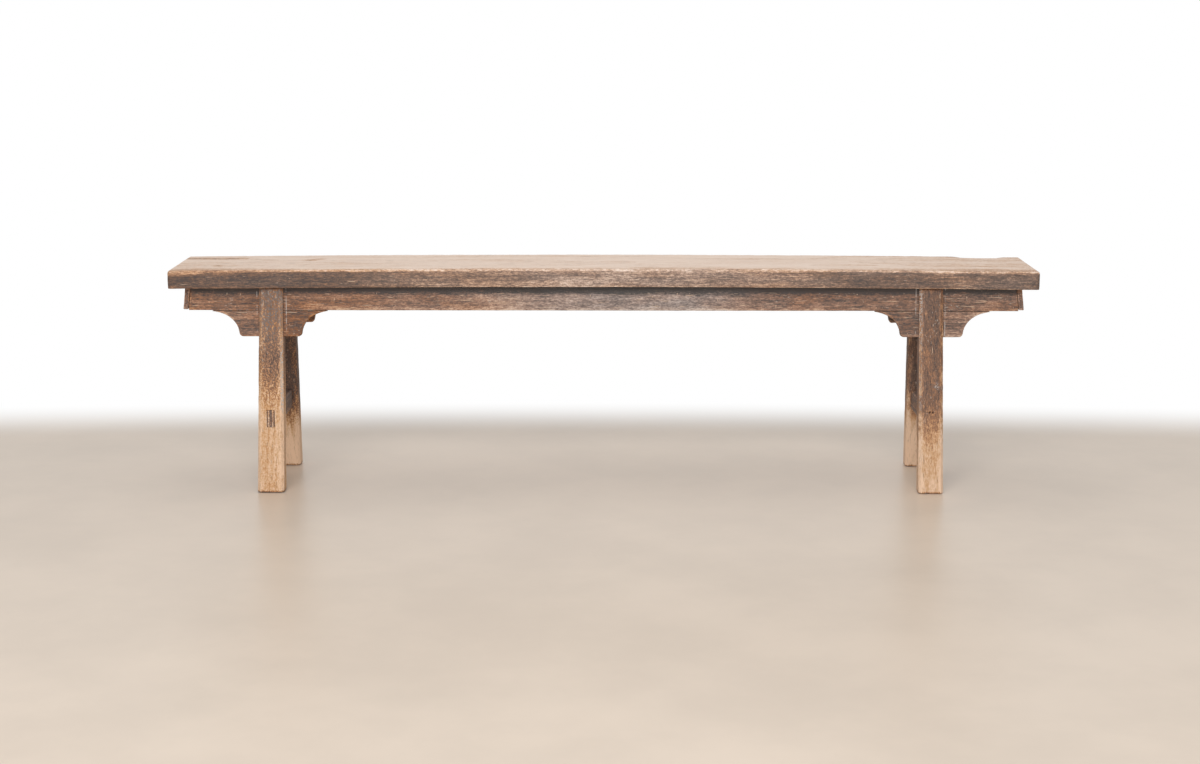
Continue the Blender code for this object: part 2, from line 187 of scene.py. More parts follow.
def timber_group(name, setting, value, outputs):
    """A shader group that takes a place along the grain, a seed and one setting, and gives values."""
    inputs = [("Position", VECTOR, None), ("Seed", FLOAT, 0.0), (setting, FLOAT, value)]
    made, group_in, group_out = new_group(name, "ShaderNodeTree", inputs, [(out, FLOAT) for out in outputs])
    return made, [group_in.outputs[row[0]] for row in inputs], group_out


print("node helpers ready")

# %% [markdown]
# ## Grain
# Every timber here is the same kind of ring-porous wood. Seen close, its surface has three
# things: growth rings, which show as long arches and stripes because the saw cut along the log,
# fine fibres, and pores, which are short dark dashes along the grain. A picture of wood could be
# wrapped round each piece, but it would stretch at the ends. Solid noise in space is better: it
# is squeezed across the grain, and the end of a plank then shows its rings by itself. The group
# takes a position whose X runs along the grain, so a leg or a stretcher only turns its position.

# %% Shader group: grain
RING_SCALE = 34.0  # wave scale that gives rings about 9 mm apart
PITH_BELOW = 0.19  # how far the rings' middle lies below the origin
PITH_SHIFT = 0.031  # how far that middle moves sideways from one seed to the next
GRAIN_SWAY = 0.05  # how far the grain wanders
SWAY_NOISE = (1.3, 4.0, 2.0, 0.5)  # scale along the grain, scale across it, detail and roughness
STREAK_NOISE = (1.6, 42.0, 5.0, 0.62)
FIBRE_NOISE = (9.0, 430.0, 2.0, 0.6)
PORE_NOISE = (32.0, 620.0, 1.0, 0.5)
FIBRE_HEIGHT, RING_HEIGHT, PORE_HEIGHT = 0.5, 0.35, -0.9  # what each adds to the bump

grain, (place, seed, ring_scale), grain_out = timber_group(
    "timber_grain", "Ring Scale", RING_SCALE, ("Streak", "Rings", "Fibre", "Pores", "Height")
)
sway = grained_noise(place, SWAY_NOISE, seed)
sway = times_plus(sway, GRAIN_SWAY, -GRAIN_SWAY / 2)
sideways = chain("ShaderNodeCombineXYZ", {1: sway, 2: sway})
bent = vector_node("ADD", place, sideways)
streak = grained_noise(bent, STREAK_NOISE, seed)
fibre = grained_noise(bent, FIBRE_NOISE, seed)
pores = grained_noise(bent, PORE_NOISE, seed)
pith = chain("ShaderNodeCombineXYZ", {1: times(seed, PITH_SHIFT), 2: PITH_BELOW})
rings = chain(
    "ShaderNodeTexWave",
    {
        "Vector": vector_node("ADD", bent, pith),
        "Scale": ring_scale,
        "Distortion": 2.4,
        "Detail": 2.0,
        "Detail Scale": 0.06,
    },
    "Fac",
    wave_type="RINGS",
    rings_direction="X",
    wave_profile="SAW",
)
pores = times(ramp(pores, 0.60, 0.70), ramp(rings, 0.25, 0.85, 0.35, 1.0))
height = times_plus(fibre, FIBRE_HEIGHT, times(rings, RING_HEIGHT))
height = times_plus(pores, PORE_HEIGHT, height)
fill(grain_out, {"Streak": streak, "Rings": rings, "Fibre": fibre, "Pores": pores, "Height": height})
print("group:", grain.name, len(grain.nodes), "nodes")

# %% [markdown]
# ## The dark film
# Smoke, hands and old oil have left a dark film on the wood, and use has rubbed it away again. It
# never ends in a clean line. It thins out in streaks along the grain, in patches and in fine
# specks, so the group adds four sizes of noise, each stretched along the grain. `Mottle` is their
# sum, about zero: where it is high, film is left over, and where it is low, wood shows through.
# `Specks` are finer grains of the same kind that follow no grain, `Flakes` are small pale scales,
# and `Grey` is where the wood has weathered grey.

# %% Shader group: film
MOTTLE_LAYERS = (  # weight, scale along the grain, scale across it, half width of the step
    (0.60, 3.5, 14.0, 0.22),
    (0.55, 17.0, 60.0, 0.20),
    (0.45, 32.0, 270.0, 0.15),
    (0.90, 120.0, 430.0, 0.15),
)
MOTTLE_DETAIL, MOTTLE_ROUGHNESS = 3.0, 0.62
SPECK_SCALE = 310.0
FLAKE_NOISE, CLUSTER_NOISE = (120.0, 250.0, 2.0, 0.6), (12.0, 34.0, 2.0, 0.5)
CLUSTER_SHARE = 0.5  # how far the clusters decide where flakes lie
FLAKE_LEVEL, FLAKE_STEP = 0.72, 0.07  # noise above this level is a flake, with an edge this soft
FLAKE_REACH = 0.2  # how far an amount of 1 lowers that level
GREY_NOISE = (7.0, 36.0, 3.0, 0.6)

patina, (place, seed, flake_amount), patina_out = timber_group(
    "dark_film", "Flake Amount", 0.3, ("Mottle", "Specks", "Flakes", "Grey")
)
layers = []
for weight, lengthwise, crosswise, step in MOTTLE_LAYERS:
    layer = grained_noise(place, (lengthwise, crosswise, MOTTLE_DETAIL, MOTTLE_ROUGHNESS), seed)
    layers.append(ramp(layer, 0.5 - step, 0.5 + step, -weight / 2, weight / 2))
mottle = total(*layers)
specks = ramp(noise(place, SPECK_SCALE, 2.0, 0.6, seed), 0.38, 0.62, -0.5, 0.5)
flakes = grained_noise(place, FLAKE_NOISE, seed)
clusters = grained_noise(place, CLUSTER_NOISE, seed)
flakes = times_plus(clusters, CLUSTER_SHARE, math_node("SUBTRACT", flakes, CLUSTER_SHARE / 2))
level = times_plus(flake_amount, -FLAKE_REACH, FLAKE_LEVEL)
flakes = ramp(flakes, level, total(level, FLAKE_STEP))
grey = ramp(grained_noise(place, GREY_NOISE, seed), 0.36, 0.66)
fill(patina_out, {"Mottle": mottle, "Specks": specks, "Flakes": flakes, "Grey": grey})
print("group:", patina.name, len(patina.nodes), "nodes")

# %% [markdown]
# ## Scuffs
# Knocks and dragged buckets leave pale scratches. Most of them run along the grain, with a few
# short ones across it. Thin bands of noise do for both.

# %% Shader group: scuffs
LONG_SCUFFS, SHORT_SCUFFS = (22.0, 330.0, 3.0, 0.62), (210.0, 90.0, 3.0, 0.6)
SHORT_LOSS = 0.05  # taken from the short ones, so that they are few
SCUFF_LEVEL, SCUFF_STEP = 0.70, 0.05  # noise above this level is a scuff, with an edge this soft
SCUFF_REACH = 0.16  # how far an amount of 1 lowers that level

scuff, (place, seed, amount), scuff_out = timber_group("pale_scuffs", "Amount", 0.5, ("Scuffs",))
long_ones = grained_noise(place, LONG_SCUFFS, seed)
short_ones = grained_noise(place, SHORT_SCUFFS, seed)
level = times_plus(amount, -SCUFF_REACH, SCUFF_LEVEL)
found = math_node("MAXIMUM", long_ones, math_node("SUBTRACT", short_ones, SHORT_LOSS))
found = ramp(found, level, total(level, SCUFF_STEP))
fill(scuff_out, {"Scuffs": found})
print("group:", scuff.name, len(scuff.nodes), "nodes")

# %% [markdown]
# ## One recipe for all the timbers
# The pieces differ in how much film is left and in which way the grain runs, not in kind. A
# ladder of colours runs from rubbed bare wood through honey and red-brown to almost black, and one
# number says how far up the ladder a place stands: its own `film`, less what the edges have lost,
# plus the mottle and the grain. Flakes, scuffs and pores lie on top. Roughness falls a little with
# the film, and the bump comes from the grain, the film, the flakes and the scuffs.

# %% Helpers for finishes
ALONG_X, ALONG_Y, ALONG_Z = (0, 0, 0), (0, 0, -math.pi / 2), (0, math.pi / 2, 0)  # which way the grain runs
SEAM_LEG_X, SEAM_SHIFT = 0.7325, 0.005  # the legs stand this far from a middle that lies a bit left
SEAM_OFFSET = 0.0325  # from the middle of a leg to the line of wax beside it


def new_material(name):
    """A material, its main shader and the object's own coordinates."""
    material = bpy.data.materials.new(name)
    material.use_nodes = True
    here = add(material.node_tree, "ShaderNodeTexCoord").outputs["Object"]
    return material, material.node_tree.nodes["Principled BSDF"], here


def attribute(tree, name):
    return add(tree, "ShaderNodeAttribute", attribute_name=name).outputs["Fac"]


def group_node(tree, group, inputs):
    return add(tree, "ShaderNodeGroup", inputs, node_tree=group).outputs


def bump(height, strength, distance):
    return chain("ShaderNodeBump", {"Strength": strength, "Distance": distance, "Height": height})


def colour_ladder(value, stops):
    """A colour ramp from (position, colour) pairs."""
    colour = chain("ShaderNodeValToRGB", {"Fac": value}, "Color")
    elements = colour.node.color_ramp.elements
    elements[0].position, elements[1].position = stops[0][0], stops[-1][0]
    elements[0].color, elements[1].color = (*stops[0][1], 1), (*stops[-1][1], 1)
    for position, tint in stops[1:-1]:
        elements.new(position).color = (*tint, 1)
    return colour


def leg_seams(here):
    """Thin upright lines on the aprons and spandrels, just beside each leg."""
    x = chain("ShaderNodeSeparateXYZ", {0: here})
    from_leg = math_node("ABSOLUTE", total(x, SEAM_SHIFT))
    from_leg = math_node("ABSOLUTE", math_node("SUBTRACT", from_leg, SEAM_LEG_X))
    from_line = math_node("ABSOLUTE", math_node("SUBTRACT", from_leg, SEAM_OFFSET))
    broken = ramp(noise(here, 42.0, 4.0, 0.7), 0.41, 0.58)
    return times(ramp(from_line, 0.0003, 0.0013, 0.75, 0.0), broken)


print("helpers for finishes ready")

# %% Timber finish
PALE_FLAKE = (0.40, 0.33, 0.275, 1.0)
PALE_SCUFF = (0.60, 0.43, 0.30, 1.0)
PORE = (0.035, 0.022, 0.016, 1.0)
RESIDUE = (0.50, 0.46, 0.43, 1.0)  # old wax and paint that is left in corners and on chamfers
GRAIN_SHARES = {"Rings": 0.10, "Streak": 0.35, "Fibre": 0.22}  # how far each moves a place on the ladder
BARE_MOTTLE = 0.13  # mottle that is left where there is no film
BARE_SHARE = 0.15  # share of the specks and of the grey that is left there
FLAKE_COVER, PORE_COVER = 0.62, 0.45  # how much of the wood these hide
WOOD_SATURATION, DRY_SHARE = 1.1, 0.5  # before any weathering, and how far a dry place greys
ROUGHNESS, FILM_GLOSS, FIBRE_ROUGHNESS = 0.68, 0.14, 0.16  # of bare wood, less for film, more for fibres
FILM_RELIEF, FLAKE_RELIEF, SCUFF_RELIEF = 0.8, 0.25, -0.3  # what each adds to the bump
BUMP_STRENGTH, BUMP_DEPTH = 0.4, 0.0007


def timber_colour(tree, rung, ladder, film, wood, cover, marks, residue, grey):
    """Colour of a place: its rung on the ladder, greyed by weather, with pale and dark marks on top."""
    colour = colour_ladder(rung, ladder)
    weathered = times(cover["Grey"], ramp(film, 0.15, 0.6, BARE_SHARE * grey, grey))
    weathered = times_plus(attribute(tree, "dry"), DRY_SHARE, weathered)
    greyed = math_node("SUBTRACT", WOOD_SATURATION, weathered)
    colour = chain("ShaderNodeHueSaturation", {"Saturation": greyed, "Color": colour})
    on_film = times(ramp(film, 0.25, 0.7), ramp(film, 0.9, 1.1, 1.0, 0.0))
    scaled = times(cover["Flakes"], times(on_film, FLAKE_COVER))
    colour = mix_colour(scaled, colour, PALE_FLAKE)
    scratched = times(marks, times_plus(on_film, 0.7, 0.1))
    colour = mix_colour(scratched, colour, PALE_SCUFF)
    colour = mix_colour(residue, colour, RESIDUE)
    return mix_colour(times(wood["Pores"], PORE_COVER), colour, PORE)


def timber_finish(name, grain_turn, ladder, base=0.0, mottle=0.36, wear=0.34, specks=0.1, flakes=0.3,
                  scuffs=0.4, grey=0.4, seams=False):
    """A wood finish: a ladder of colours, and how strongly each effect moves a place along it.

    base is the film on a piece that stores none of its own. seams adds old wax beside the legs.
    """
    material, shader, here = new_material(name)
    tree = material.node_tree
    turned = chain("ShaderNodeMapping", {"Vector": here, "Rotation": grain_turn})
    spot = {"Position": turned, "Seed": attribute(tree, "seed")}
    film = total(attribute(tree, "film"), base)
    wood = group_node(tree, grain, spot)
    cover = group_node(tree, patina, {**spot, "Flake Amount": flakes})
    marks = group_node(tree, scuff, {**spot, "Amount": scuffs})["Scuffs"]

    uneven = times(cover["Mottle"], ramp(film, 0.0, 0.5, BARE_MOTTLE, mottle))
    speckled = times(cover["Specks"], ramp(film, 0.1, 0.5, BARE_SHARE * specks, specks))
    rung = times_plus(attribute(tree, "worn"), -wear, total(film, uneven, speckled))
    for part, share in GRAIN_SHARES.items():
        rung = times_plus(wood[part], share, math_node("SUBTRACT", rung, share / 2))

    patchy = times_plus(cover["Mottle"], 0.5, cover["Specks"])
    residue = times(attribute(tree, "residue"), ramp(patchy, -0.05, 0.35))
    if seams:
        residue = math_node("MAXIMUM", residue, leg_seams(here))
    colour = timber_colour(tree, rung, ladder, film, wood, cover, marks, residue, grey)
    rough = times_plus(wood["Fibre"], FIBRE_ROUGHNESS, times_plus(film, -FILM_GLOSS, ROUGHNESS))
    relief = times_plus(uneven, FILM_RELIEF, wood["Height"])
    relief = times_plus(cover["Flakes"], FLAKE_RELIEF, relief)
    relief = times_plus(marks, SCUFF_RELIEF, relief)
    bumps = bump(relief, BUMP_STRENGTH, BUMP_DEPTH)
    fill(shader, {"Base Color": colour, "Roughness": rough, "Normal": bumps})
    return material


print("recipe ready, with", len(GRAIN_SHARES), "parts of the grain")

# %% [markdown]
# ## The bench's finishes
# The seat is bare and pale on top, the legs are honey-coloured where they are bare, and the aprons
# have kept a red tone, so there are three ladders. The left legs are speckled and the right ones
# streaked, so the legs have two finishes on one ladder.

# %% The bench's finishes
SEAT_LADDER = (
    (0.00, (0.83, 0.685, 0.585)), (0.16, (0.765, 0.61, 0.505)), (0.31, (0.60, 0.40, 0.275)),
    (0.45, (0.40, 0.25, 0.172)), (0.60, (0.235, 0.147, 0.105)), (0.78, (0.137, 0.091, 0.071)),
    (1.00, (0.067, 0.051, 0.046)),
)
LEG_LADDER = (
    (0.00, (0.76, 0.545, 0.39)), (0.15, (0.64, 0.445, 0.305)), (0.27, (0.565, 0.35, 0.20)),
    (0.38, (0.46, 0.25, 0.125)), (0.52, (0.30, 0.152, 0.082)), (0.72, (0.165, 0.09, 0.058)),
    (1.00, (0.065, 0.042, 0.034)),
)
APRON_LADDER = (
    (0.00, (0.62, 0.445, 0.325)), (0.20, (0.53, 0.335, 0.22)), (0.40, (0.345, 0.19, 0.12)),
    (0.58, (0.225, 0.12, 0.076)), (0.78, (0.128, 0.076, 0.056)), (1.00, (0.053, 0.040, 0.036)),
)

seat_finish = timber_finish(
    "seat_finish", ALONG_X, SEAT_LADDER, mottle=0.31, wear=0.12, scuffs=0.34, flakes=0.1, grey=0.2
)
apron_finish = timber_finish(
    "apron_finish", ALONG_X, APRON_LADDER, mottle=0.39, wear=0.4, scuffs=0.6, grey=0.2, seams=True
)
end_finish = timber_finish("end_board_finish", ALONG_Y, APRON_LADDER, scuffs=0.3)
speckled_leg = timber_finish(
    "speckled_leg_finish", ALONG_Z, LEG_LADDER,
    mottle=0.25, wear=0.28, specks=0.42, scuffs=0.3, flakes=0.5, grey=0.12,
)
streaked_leg = timber_finish(
    "streaked_leg_finish", ALONG_Z, LEG_LADDER,
    mottle=0.32, wear=0.38, specks=0.14, scuffs=0.36, flakes=0.4, grey=0.12,
)
stretcher_finish = timber_finish("stretcher_finish", ALONG_Y, LEG_LADDER, scuffs=0.3)
wedge_finish = timber_finish("wedge_finish", ALONG_Y, LEG_LADDER, base=0.80, scuffs=0.1)
bamboo_finish = timber_finish("bamboo_finish", ALONG_X, LEG_LADDER, base=0.40, scuffs=0.1)
print("finishes:", len(bpy.data.materials))

# %% [markdown]
# ## Worn timbers
# A timber is built as rings of points along its length. Each ring is a rectangle whose corners
# are eased, with its points crowded towards the corners, because that is where wear needs them.
# Each point also stores `arris`, which is 1 on an edge and fades out over some millimetres. The
# rings lie a hair inside the frame's solid, and wear only takes wood away, so a finished piece
# never grows out of the place that the frame gives it.

# %% Rings
SKIN = 0.00015  # how far a worn timber lies inside the frame's solid before any wear
ARRIS_BAND = 0.0032  # distance over which an edge's wear fades out


def crowded(count):
    """Shares from -1 to 1, closer together near both ends."""
    return [-math.cos(math.pi * i / count) for i in range(count + 1)]


def halves(inset, *sizes):
    """Half of each size, less the skin and an inset."""
    return [size / 2 - SKIN - inset for size in sizes]


def section(half_a, half_b, radii, shares_a, shares_b, steps, roundness=1.0):
    """A ring round a rectangle: columns a, b and arris. radii start at the +a, -b corner.

    A roundness of 1 rounds the corners, and 0 planes them flat.
    """
    points = []

    def side(start, end, shares):
        length = math.dist(start, end)
        for share in shares:
            t = (share + 1) / 2
            near = math.exp(-min(t, 1 - t) * length / ARRIS_BAND)
            points.append((start[0] + (end[0] - start[0]) * t, start[1] + (end[1] - start[1]) * t, near))

    def corner(middle, radius, first):
        ends = [(math.cos(first + turn), math.sin(first + turn)) for turn in (0, math.pi / 2)]
        for i in range(1, steps):
            t = i / steps
            arc = (math.cos(first + math.pi / 2 * t), math.sin(first + math.pi / 2 * t))
            flat = [ends[0][k] + (ends[1][k] - ends[0][k]) * t for k in range(2)]
            eased = [flat[k] + (arc[k] - flat[k]) * roundness for k in range(2)]
            points.append((middle[0] + radius * eased[0], middle[1] + radius * eased[1], 1.0))

    r0, r1, r2, r3 = radii
    side((-half_a + r3, -half_b), (half_a - r0, -half_b), shares_a)
    corner((half_a - r0, -half_b + r0), r0, -math.pi / 2)
    side((half_a, -half_b + r0), (half_a, half_b - r1), shares_b)
    corner((half_a - r1, half_b - r1), r1, 0)
    side((half_a - r1, half_b), (-half_a + r2, half_b), shares_a)
    corner((-half_a + r2, half_b - r2), r2, math.pi / 2)
    side((-half_a, half_b - r2), (-half_a, -half_b + r3), shares_b)
    corner((-half_a + r3, -half_b + r3), r3, math.pi)
    return np.array(points)


print("ring of", len(section(1, 1, (0.1,) * 4, crowded(4), crowded(4), 3)), "points in a small example")

# %% Bars
CAP_SHARES = (0.72, 0.38, 0.08)  # inner rings that fill an end


def eased_stations(length, radius, step, steps=4):
    """Places along a bar, with the inset that rounds its two ends."""
    turns = [math.pi / 2 * i / steps for i in range(steps + 1)]
    eased = [(radius * (1 - math.cos(t)), radius * (1 - math.sin(t))) for t in turns]
    count = max(2, round((length - 2 * radius) / step))
    middle = [(radius + (length - 2 * radius) * i / count, 0.0) for i in range(1, count)]
    return eased + middle + [(length - u, inset) for u, inset in reversed(eased)]


def bar_mesh(name, length, stations, ring_at):
    """A closed mesh through ring_at(place along the bar, inset) -> points, arris."""
    rings, arris = [], []
    for u, inset in stations:
        points, near = ring_at(u, inset)
        rings.append(points)
        arris.append(np.maximum(near, math.exp(-min(u, length - u) / ARRIS_BAND)))
    for end in (0, -1):
        outer = rings[end].copy()
        middle = outer.mean(axis=0)
        for share in CAP_SHARES:
            spot = 0 if end == 0 else len(rings)
            rings.insert(spot, middle + (outer - middle) * share)
            arris.insert(spot, np.full(len(outer), share**4))
    rings = np.array(rings)
    count = rings.shape[1]
    index = np.arange(rings.shape[0] * count).reshape(-1, count)
    near, far = index[:-1], index[1:]
    quads = np.stack([near, np.roll(near, -1, 1), np.roll(far, -1, 1), far], -1).reshape(-1, 4)
    faces = quads.tolist() + [index[0][::-1].tolist(), index[-1].tolist()]
    mesh = bpy.data.meshes.new(name)
    mesh.from_pydata(rings.reshape(-1, 3).tolist(), [], faces)
    store(mesh, "arris", np.concatenate(arris))
    bm = bmesh.new()
    bm.from_mesh(mesh)
    bmesh.ops.recalc_face_normals(bm, faces=bm.faces)
    bm.to_mesh(mesh)
    bm.free()
    return mesh


def listed_bar(name, places, ring_of):
    """A bar with one ring for each place in a list."""
    stations = [(i, 0.0) for i in range(len(places))]
    return bar_mesh(name, len(places) - 1, stations, lambda i, _: ring_of(places[i]))


def positions(mesh):
    found = np.empty(len(mesh.vertices) * 3)
    mesh.vertices.foreach_get("co", found)
    return found.reshape(-1, 3)


def store(mesh, name, values):
    """Stores one value for each point, or the same value for all of them."""
    found = mesh.attributes.get(name) or mesh.attributes.new(name, "FLOAT", "POINT")
    values = np.broadcast_to(np.asarray(values, dtype=np.float32), len(mesh.vertices))
    found.data.foreach_set("value", np.ascontiguousarray(values))


def smooth(values, low, high):
    """0 below low, 1 above high, and an eased step between them."""
    t = np.clip((np.asarray(values) - low) / (high - low), 0, 1)
    return t * t * (3 - 2 * t)


def between(first, second, share):
    return first + (second - first) * share


print("bar builder ready")

# %% [markdown]
# ## Weathering as a geometry tree
# Wear follows a rule, so a geometry tree applies it: broad hollows along the grain, edges that
# are lost in an uneven way, and small pits. Each is a depth along the surface normal, and all of
# them take wood away. The tree also stores how worn each point is, which the finish reads, and a
# seed, so that no two timbers share a pattern. The result is then turned into a plain mesh.

# %% Geometry tree: weathering
HOLLOW_SCALE, CHIP_SCALE, NIBBLE_SCALE, PIT_SCALE = 14.0, 38.0, 160.0, 120.0
CHIP_LOSS, NIBBLE_LOSS = 0.8, 0.4  # shares of the edge loss
LOSS_POWER = 1.5  # keeps the loss close to the edge
EDGE_RUB, CHIP_RUB = 0.45, 0.8  # how worn an edge is, and how much more so in a chip

weathering, weathering_in, weathering_out = new_group(
    "weathering",
    "GeometryNodeTree",
    [
        ("Geometry", "NodeSocketGeometry", None),
        ("Material", "NodeSocketMaterial", None),
        ("Seed", FLOAT, 0.0),
        ("Stretch", VECTOR, (1.0, 1.0, 1.0)),
        ("Hollow Depth", FLOAT, 0.0008),
        ("Edge Loss", FLOAT, 0.0015),
        ("Pit Depth", FLOAT, 0.0004),
    ],
    [("Geometry", "NodeSocketGeometry")],
)
given = weathering_in.outputs
where = add(weathering, "GeometryNodeInputPosition").outputs[0]
stretched = vector_node("MULTIPLY", where, given["Stretch"])
arris = add(weathering, "GeometryNodeInputNamedAttribute", {"Name": "arris"}, data_type="FLOAT").outputs[0]
hollows = noise(stretched, HOLLOW_SCALE, 2.0, 0.5, given["Seed"])
chips = ramp(noise(where, CHIP_SCALE, 3.0, 0.6, given["Seed"]), 0.38, 0.72)
nibbles = noise(where, NIBBLE_SCALE, 2.0, 0.6, given["Seed"])
pits = ramp(noise(stretched, PIT_SCALE, 2.0, 0.5, given["Seed"]), 0.60, 0.74)
loss = times_plus(chips, CHIP_LOSS, times(nibbles, NIBBLE_LOSS))
loss = times(loss, math_node("POWER", arris, LOSS_POWER))
depth = times(hollows, given["Hollow Depth"])
depth = times_plus(loss, given["Edge Loss"], depth)
depth = times_plus(pits, given["Pit Depth"], depth)
normal = add(weathering, "GeometryNodeInputNormal").outputs[0]
offset = chain("ShaderNodeVectorMath", {0: normal, "Scale": times(depth, -1.0)}, operation="SCALE")
rubbed = times(arris, times_plus(chips, CHIP_RUB, EDGE_RUB))
stored = {"data_type": "FLOAT", "domain": "POINT"}
steps = (
    ("GeometryNodeSetPosition", {"Offset": offset}, {}),
    ("GeometryNodeStoreNamedAttribute", {"Name": "worn", "Value": rubbed}, stored),
    ("GeometryNodeStoreNamedAttribute", {"Name": "seed", "Value": given["Seed"]}, stored),
    ("GeometryNodeSetShadeSmooth", {}, {}),
    ("GeometryNodeRealizeInstances", {}, {}),
    ("GeometryNodeSetMaterial", {"Material": given["Material"]}, {}),
)
shape = given["Geometry"]
for kind, inputs, options in steps:
    shape = chain(kind, {"Geometry": shape, **inputs}, **options)
fill(weathering_out, {"Geometry": shape})
print("tree:", weathering.name, len(weathering.nodes), "nodes")

# %% [markdown]
# ## From a bar to a finished piece
# Slots and mortises could be drawn into each ring, but the frame's own solids already have them.
# So a bar whose joints show is cut by keeping only what also lies inside its solid. Every bar
# then goes through the weathering tree, and takes the place of its node in the frame. Each timber
# has its own seed, and each kind of timber its own depth of wear.

# %% From a bar to a finished piece
MERGE_DISTANCE = 1e-6
DEPTHS = ("Hollow Depth", "Edge Loss", "Pit Depth")
TIMBERS = {  # material slot, stretch of the hollows, and the three depths of wear
    "seat": ("seat_wood", (0.25, 1.0, 1.0), (0.0008, 0.0010, 0.0003)),
    "apron": ("apron_wood", (0.25, 1.0, 1.0), (0.0003, 0.0010, 0.0004)),
    "spandrel": ("apron_wood", (0.35, 1.0, 1.0), (0.0002, 0.0008, 0.0003)),
    "end": ("apron_wood", (1.0, 0.3, 1.0), (0.0004, 0.0008, 0.0003)),
    "leg": ("leg_wood", (1.0, 1.0, 0.3), (0.0004, 0.0009, 0.0004)),
    "stretcher": ("stretcher_wood", (1.0, 0.3, 1.0), (0.0005, 0.0010, 0.0003)),
}
SEEDS = {
    "seat_plank": 1, "apron_front": 3, "apron_back": 5, "end_board_left": 29, "end_board_right": 31,
    "spandrel_front_left": 12, "spandrel_front_right": 17,
    "spandrel_back_left": 16, "spandrel_back_right": 21,
    "leg_front_left": 37, "leg_front_right": 48, "leg_back_left": 47, "leg_back_right": 58,
    "stretcher_left": 74, "stretcher_right": 75,
}


def evaluated_mesh(obj, name):
    graph = bpy.context.evaluated_depsgraph_get()
    mesh = bpy.data.meshes.new_from_object(obj.evaluated_get(graph))
    mesh.name = name
    return mesh


def joint_cut(mesh, node):
    """Keeps what lies inside the frame's own solid, which cuts the joints."""
    name = mesh.name
    mesh.name = "uncut_" + name
    obj = put(mesh.name, mesh)
    solid = put("solid_" + node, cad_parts[node].data.copy())
    bm = bmesh.new()
    bm.from_mesh(solid.data)
    bmesh.ops.remove_doubles(bm, verts=bm.verts, dist=MERGE_DISTANCE)
    bm.to_mesh(solid.data)
    bm.free()
    modifier = obj.modifiers.new("joints", "BOOLEAN")
    modifier.operation = "INTERSECT"
    modifier.object = solid
    cut = evaluated_mesh(obj, name)
    bpy.data.objects.remove(obj)
    bpy.data.objects.remove(solid)
    return cut


def weather(mesh, values):
    """Runs the weathering tree on a mesh and returns the object that holds the result."""
    name = mesh.name
    mesh.name = "unworn_" + name
    obj = put(name, mesh)
    modifier = obj.modifiers.new("weathering", "NODES")
    modifier.node_group = weathering
    for item in weathering.interface.items_tree:
        if item.in_out == "INPUT" and item.name in values:
            modifier[item.identifier] = values[item.name]
    finished = evaluated_mesh(obj, name)
    obj.modifiers.remove(modifier)
    obj.data = finished
    return obj


def finish_piece(mesh, node, material, **looks):
    """Stores a bar's looks, weathers it and gives it to the frame in place of a node."""
    for name, values in looks.items():
        store(mesh, name, values)
    slot, stretch, depths = TIMBERS[node.split("_")[0]]
    values = {"Material": material, "Seed": float(SEEDS[node]), "Stretch": stretch}
    piece = weather(mesh, {**values, **dict(zip(DEPTHS, depths))})
    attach(piece, "root")
    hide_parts(node)
    print(f"{piece.name}: {len(piece.data.polygons)} faces for {node}")


print("timbers to make:", len(SEEDS))

# %% [markdown]
# ## Seat
# The seat is one plank, bowed up a few millimetres along its length. Its long edges are rounded by
# use, a check runs in from the left end, and a strip of the back edge was never square, because
# the tree's own surface lay there.

# %% Seat sizes
SEAT_THICKNESS = 0.042
SEAT_CAMBER = 0.0055
SEAT_ARRIS, SEAT_LOWER_ARRIS, SEAT_END_ARRIS = 0.0042, 0.0025, 0.0075
SEAT_CORNER = 0.009  # rounding of the plank's corners, seen from above
SEAT_STEP = 0.004
CHECK_Y, CHECK_LENGTH = 0.069, 0.150  # the drying check at the left end
CHECK_WIDTH, CHECK_DEPTH = 0.0032, 0.008
CHECK_SPREAD = (-4.0, -2.0, -1.0, -0.5, 0.0, 0.5, 1.0, 2.0, 4.0)  # points about it, in its widths
CHECK_SWAY, CHECK_WAVES = 0.0015, 47  # how far it wanders, and how often
WANE_X, WANE_HALF_LENGTH = 0.868, 0.062  # the waney stretch of the back edge
WANE_DROP, WANE_WIDTH, WANE_CUT = 0.0065, 0.030, 0.020

seat_low, seat_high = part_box("seat_plank")
SEAT_LENGTH = seat_high.x - seat_low.x
SEAT_WIDTH = seat_high.y - seat_low.y
SEAT_BOTTOM = seat_low.z
CHECK_FLAT = SEAT_WIDTH / 2 - SEAT_ARRIS
CHECK_SHARES = [(-CHECK_Y + widths * CHECK_WIDTH) / CHECK_FLAT for widths in CHECK_SPREAD]
SEAT_SHARES = sorted(crowded(36) + CHECK_SHARES)
print("seat:", round(SEAT_LENGTH, 4), "by", round(SEAT_WIDTH, 4), "m, underside at", round(SEAT_BOTTOM, 4))


# %% Seat shape
def camber(x):
    return SEAT_CAMBER * (1 - (2 * x / SEAT_LENGTH) ** 2)


def rounded_off(from_end, radius):
    """How far a rounded edge has dropped at a distance from the end."""
    left = max(radius - from_end, 0.0)
    return radius - math.sqrt(radius**2 - left**2)


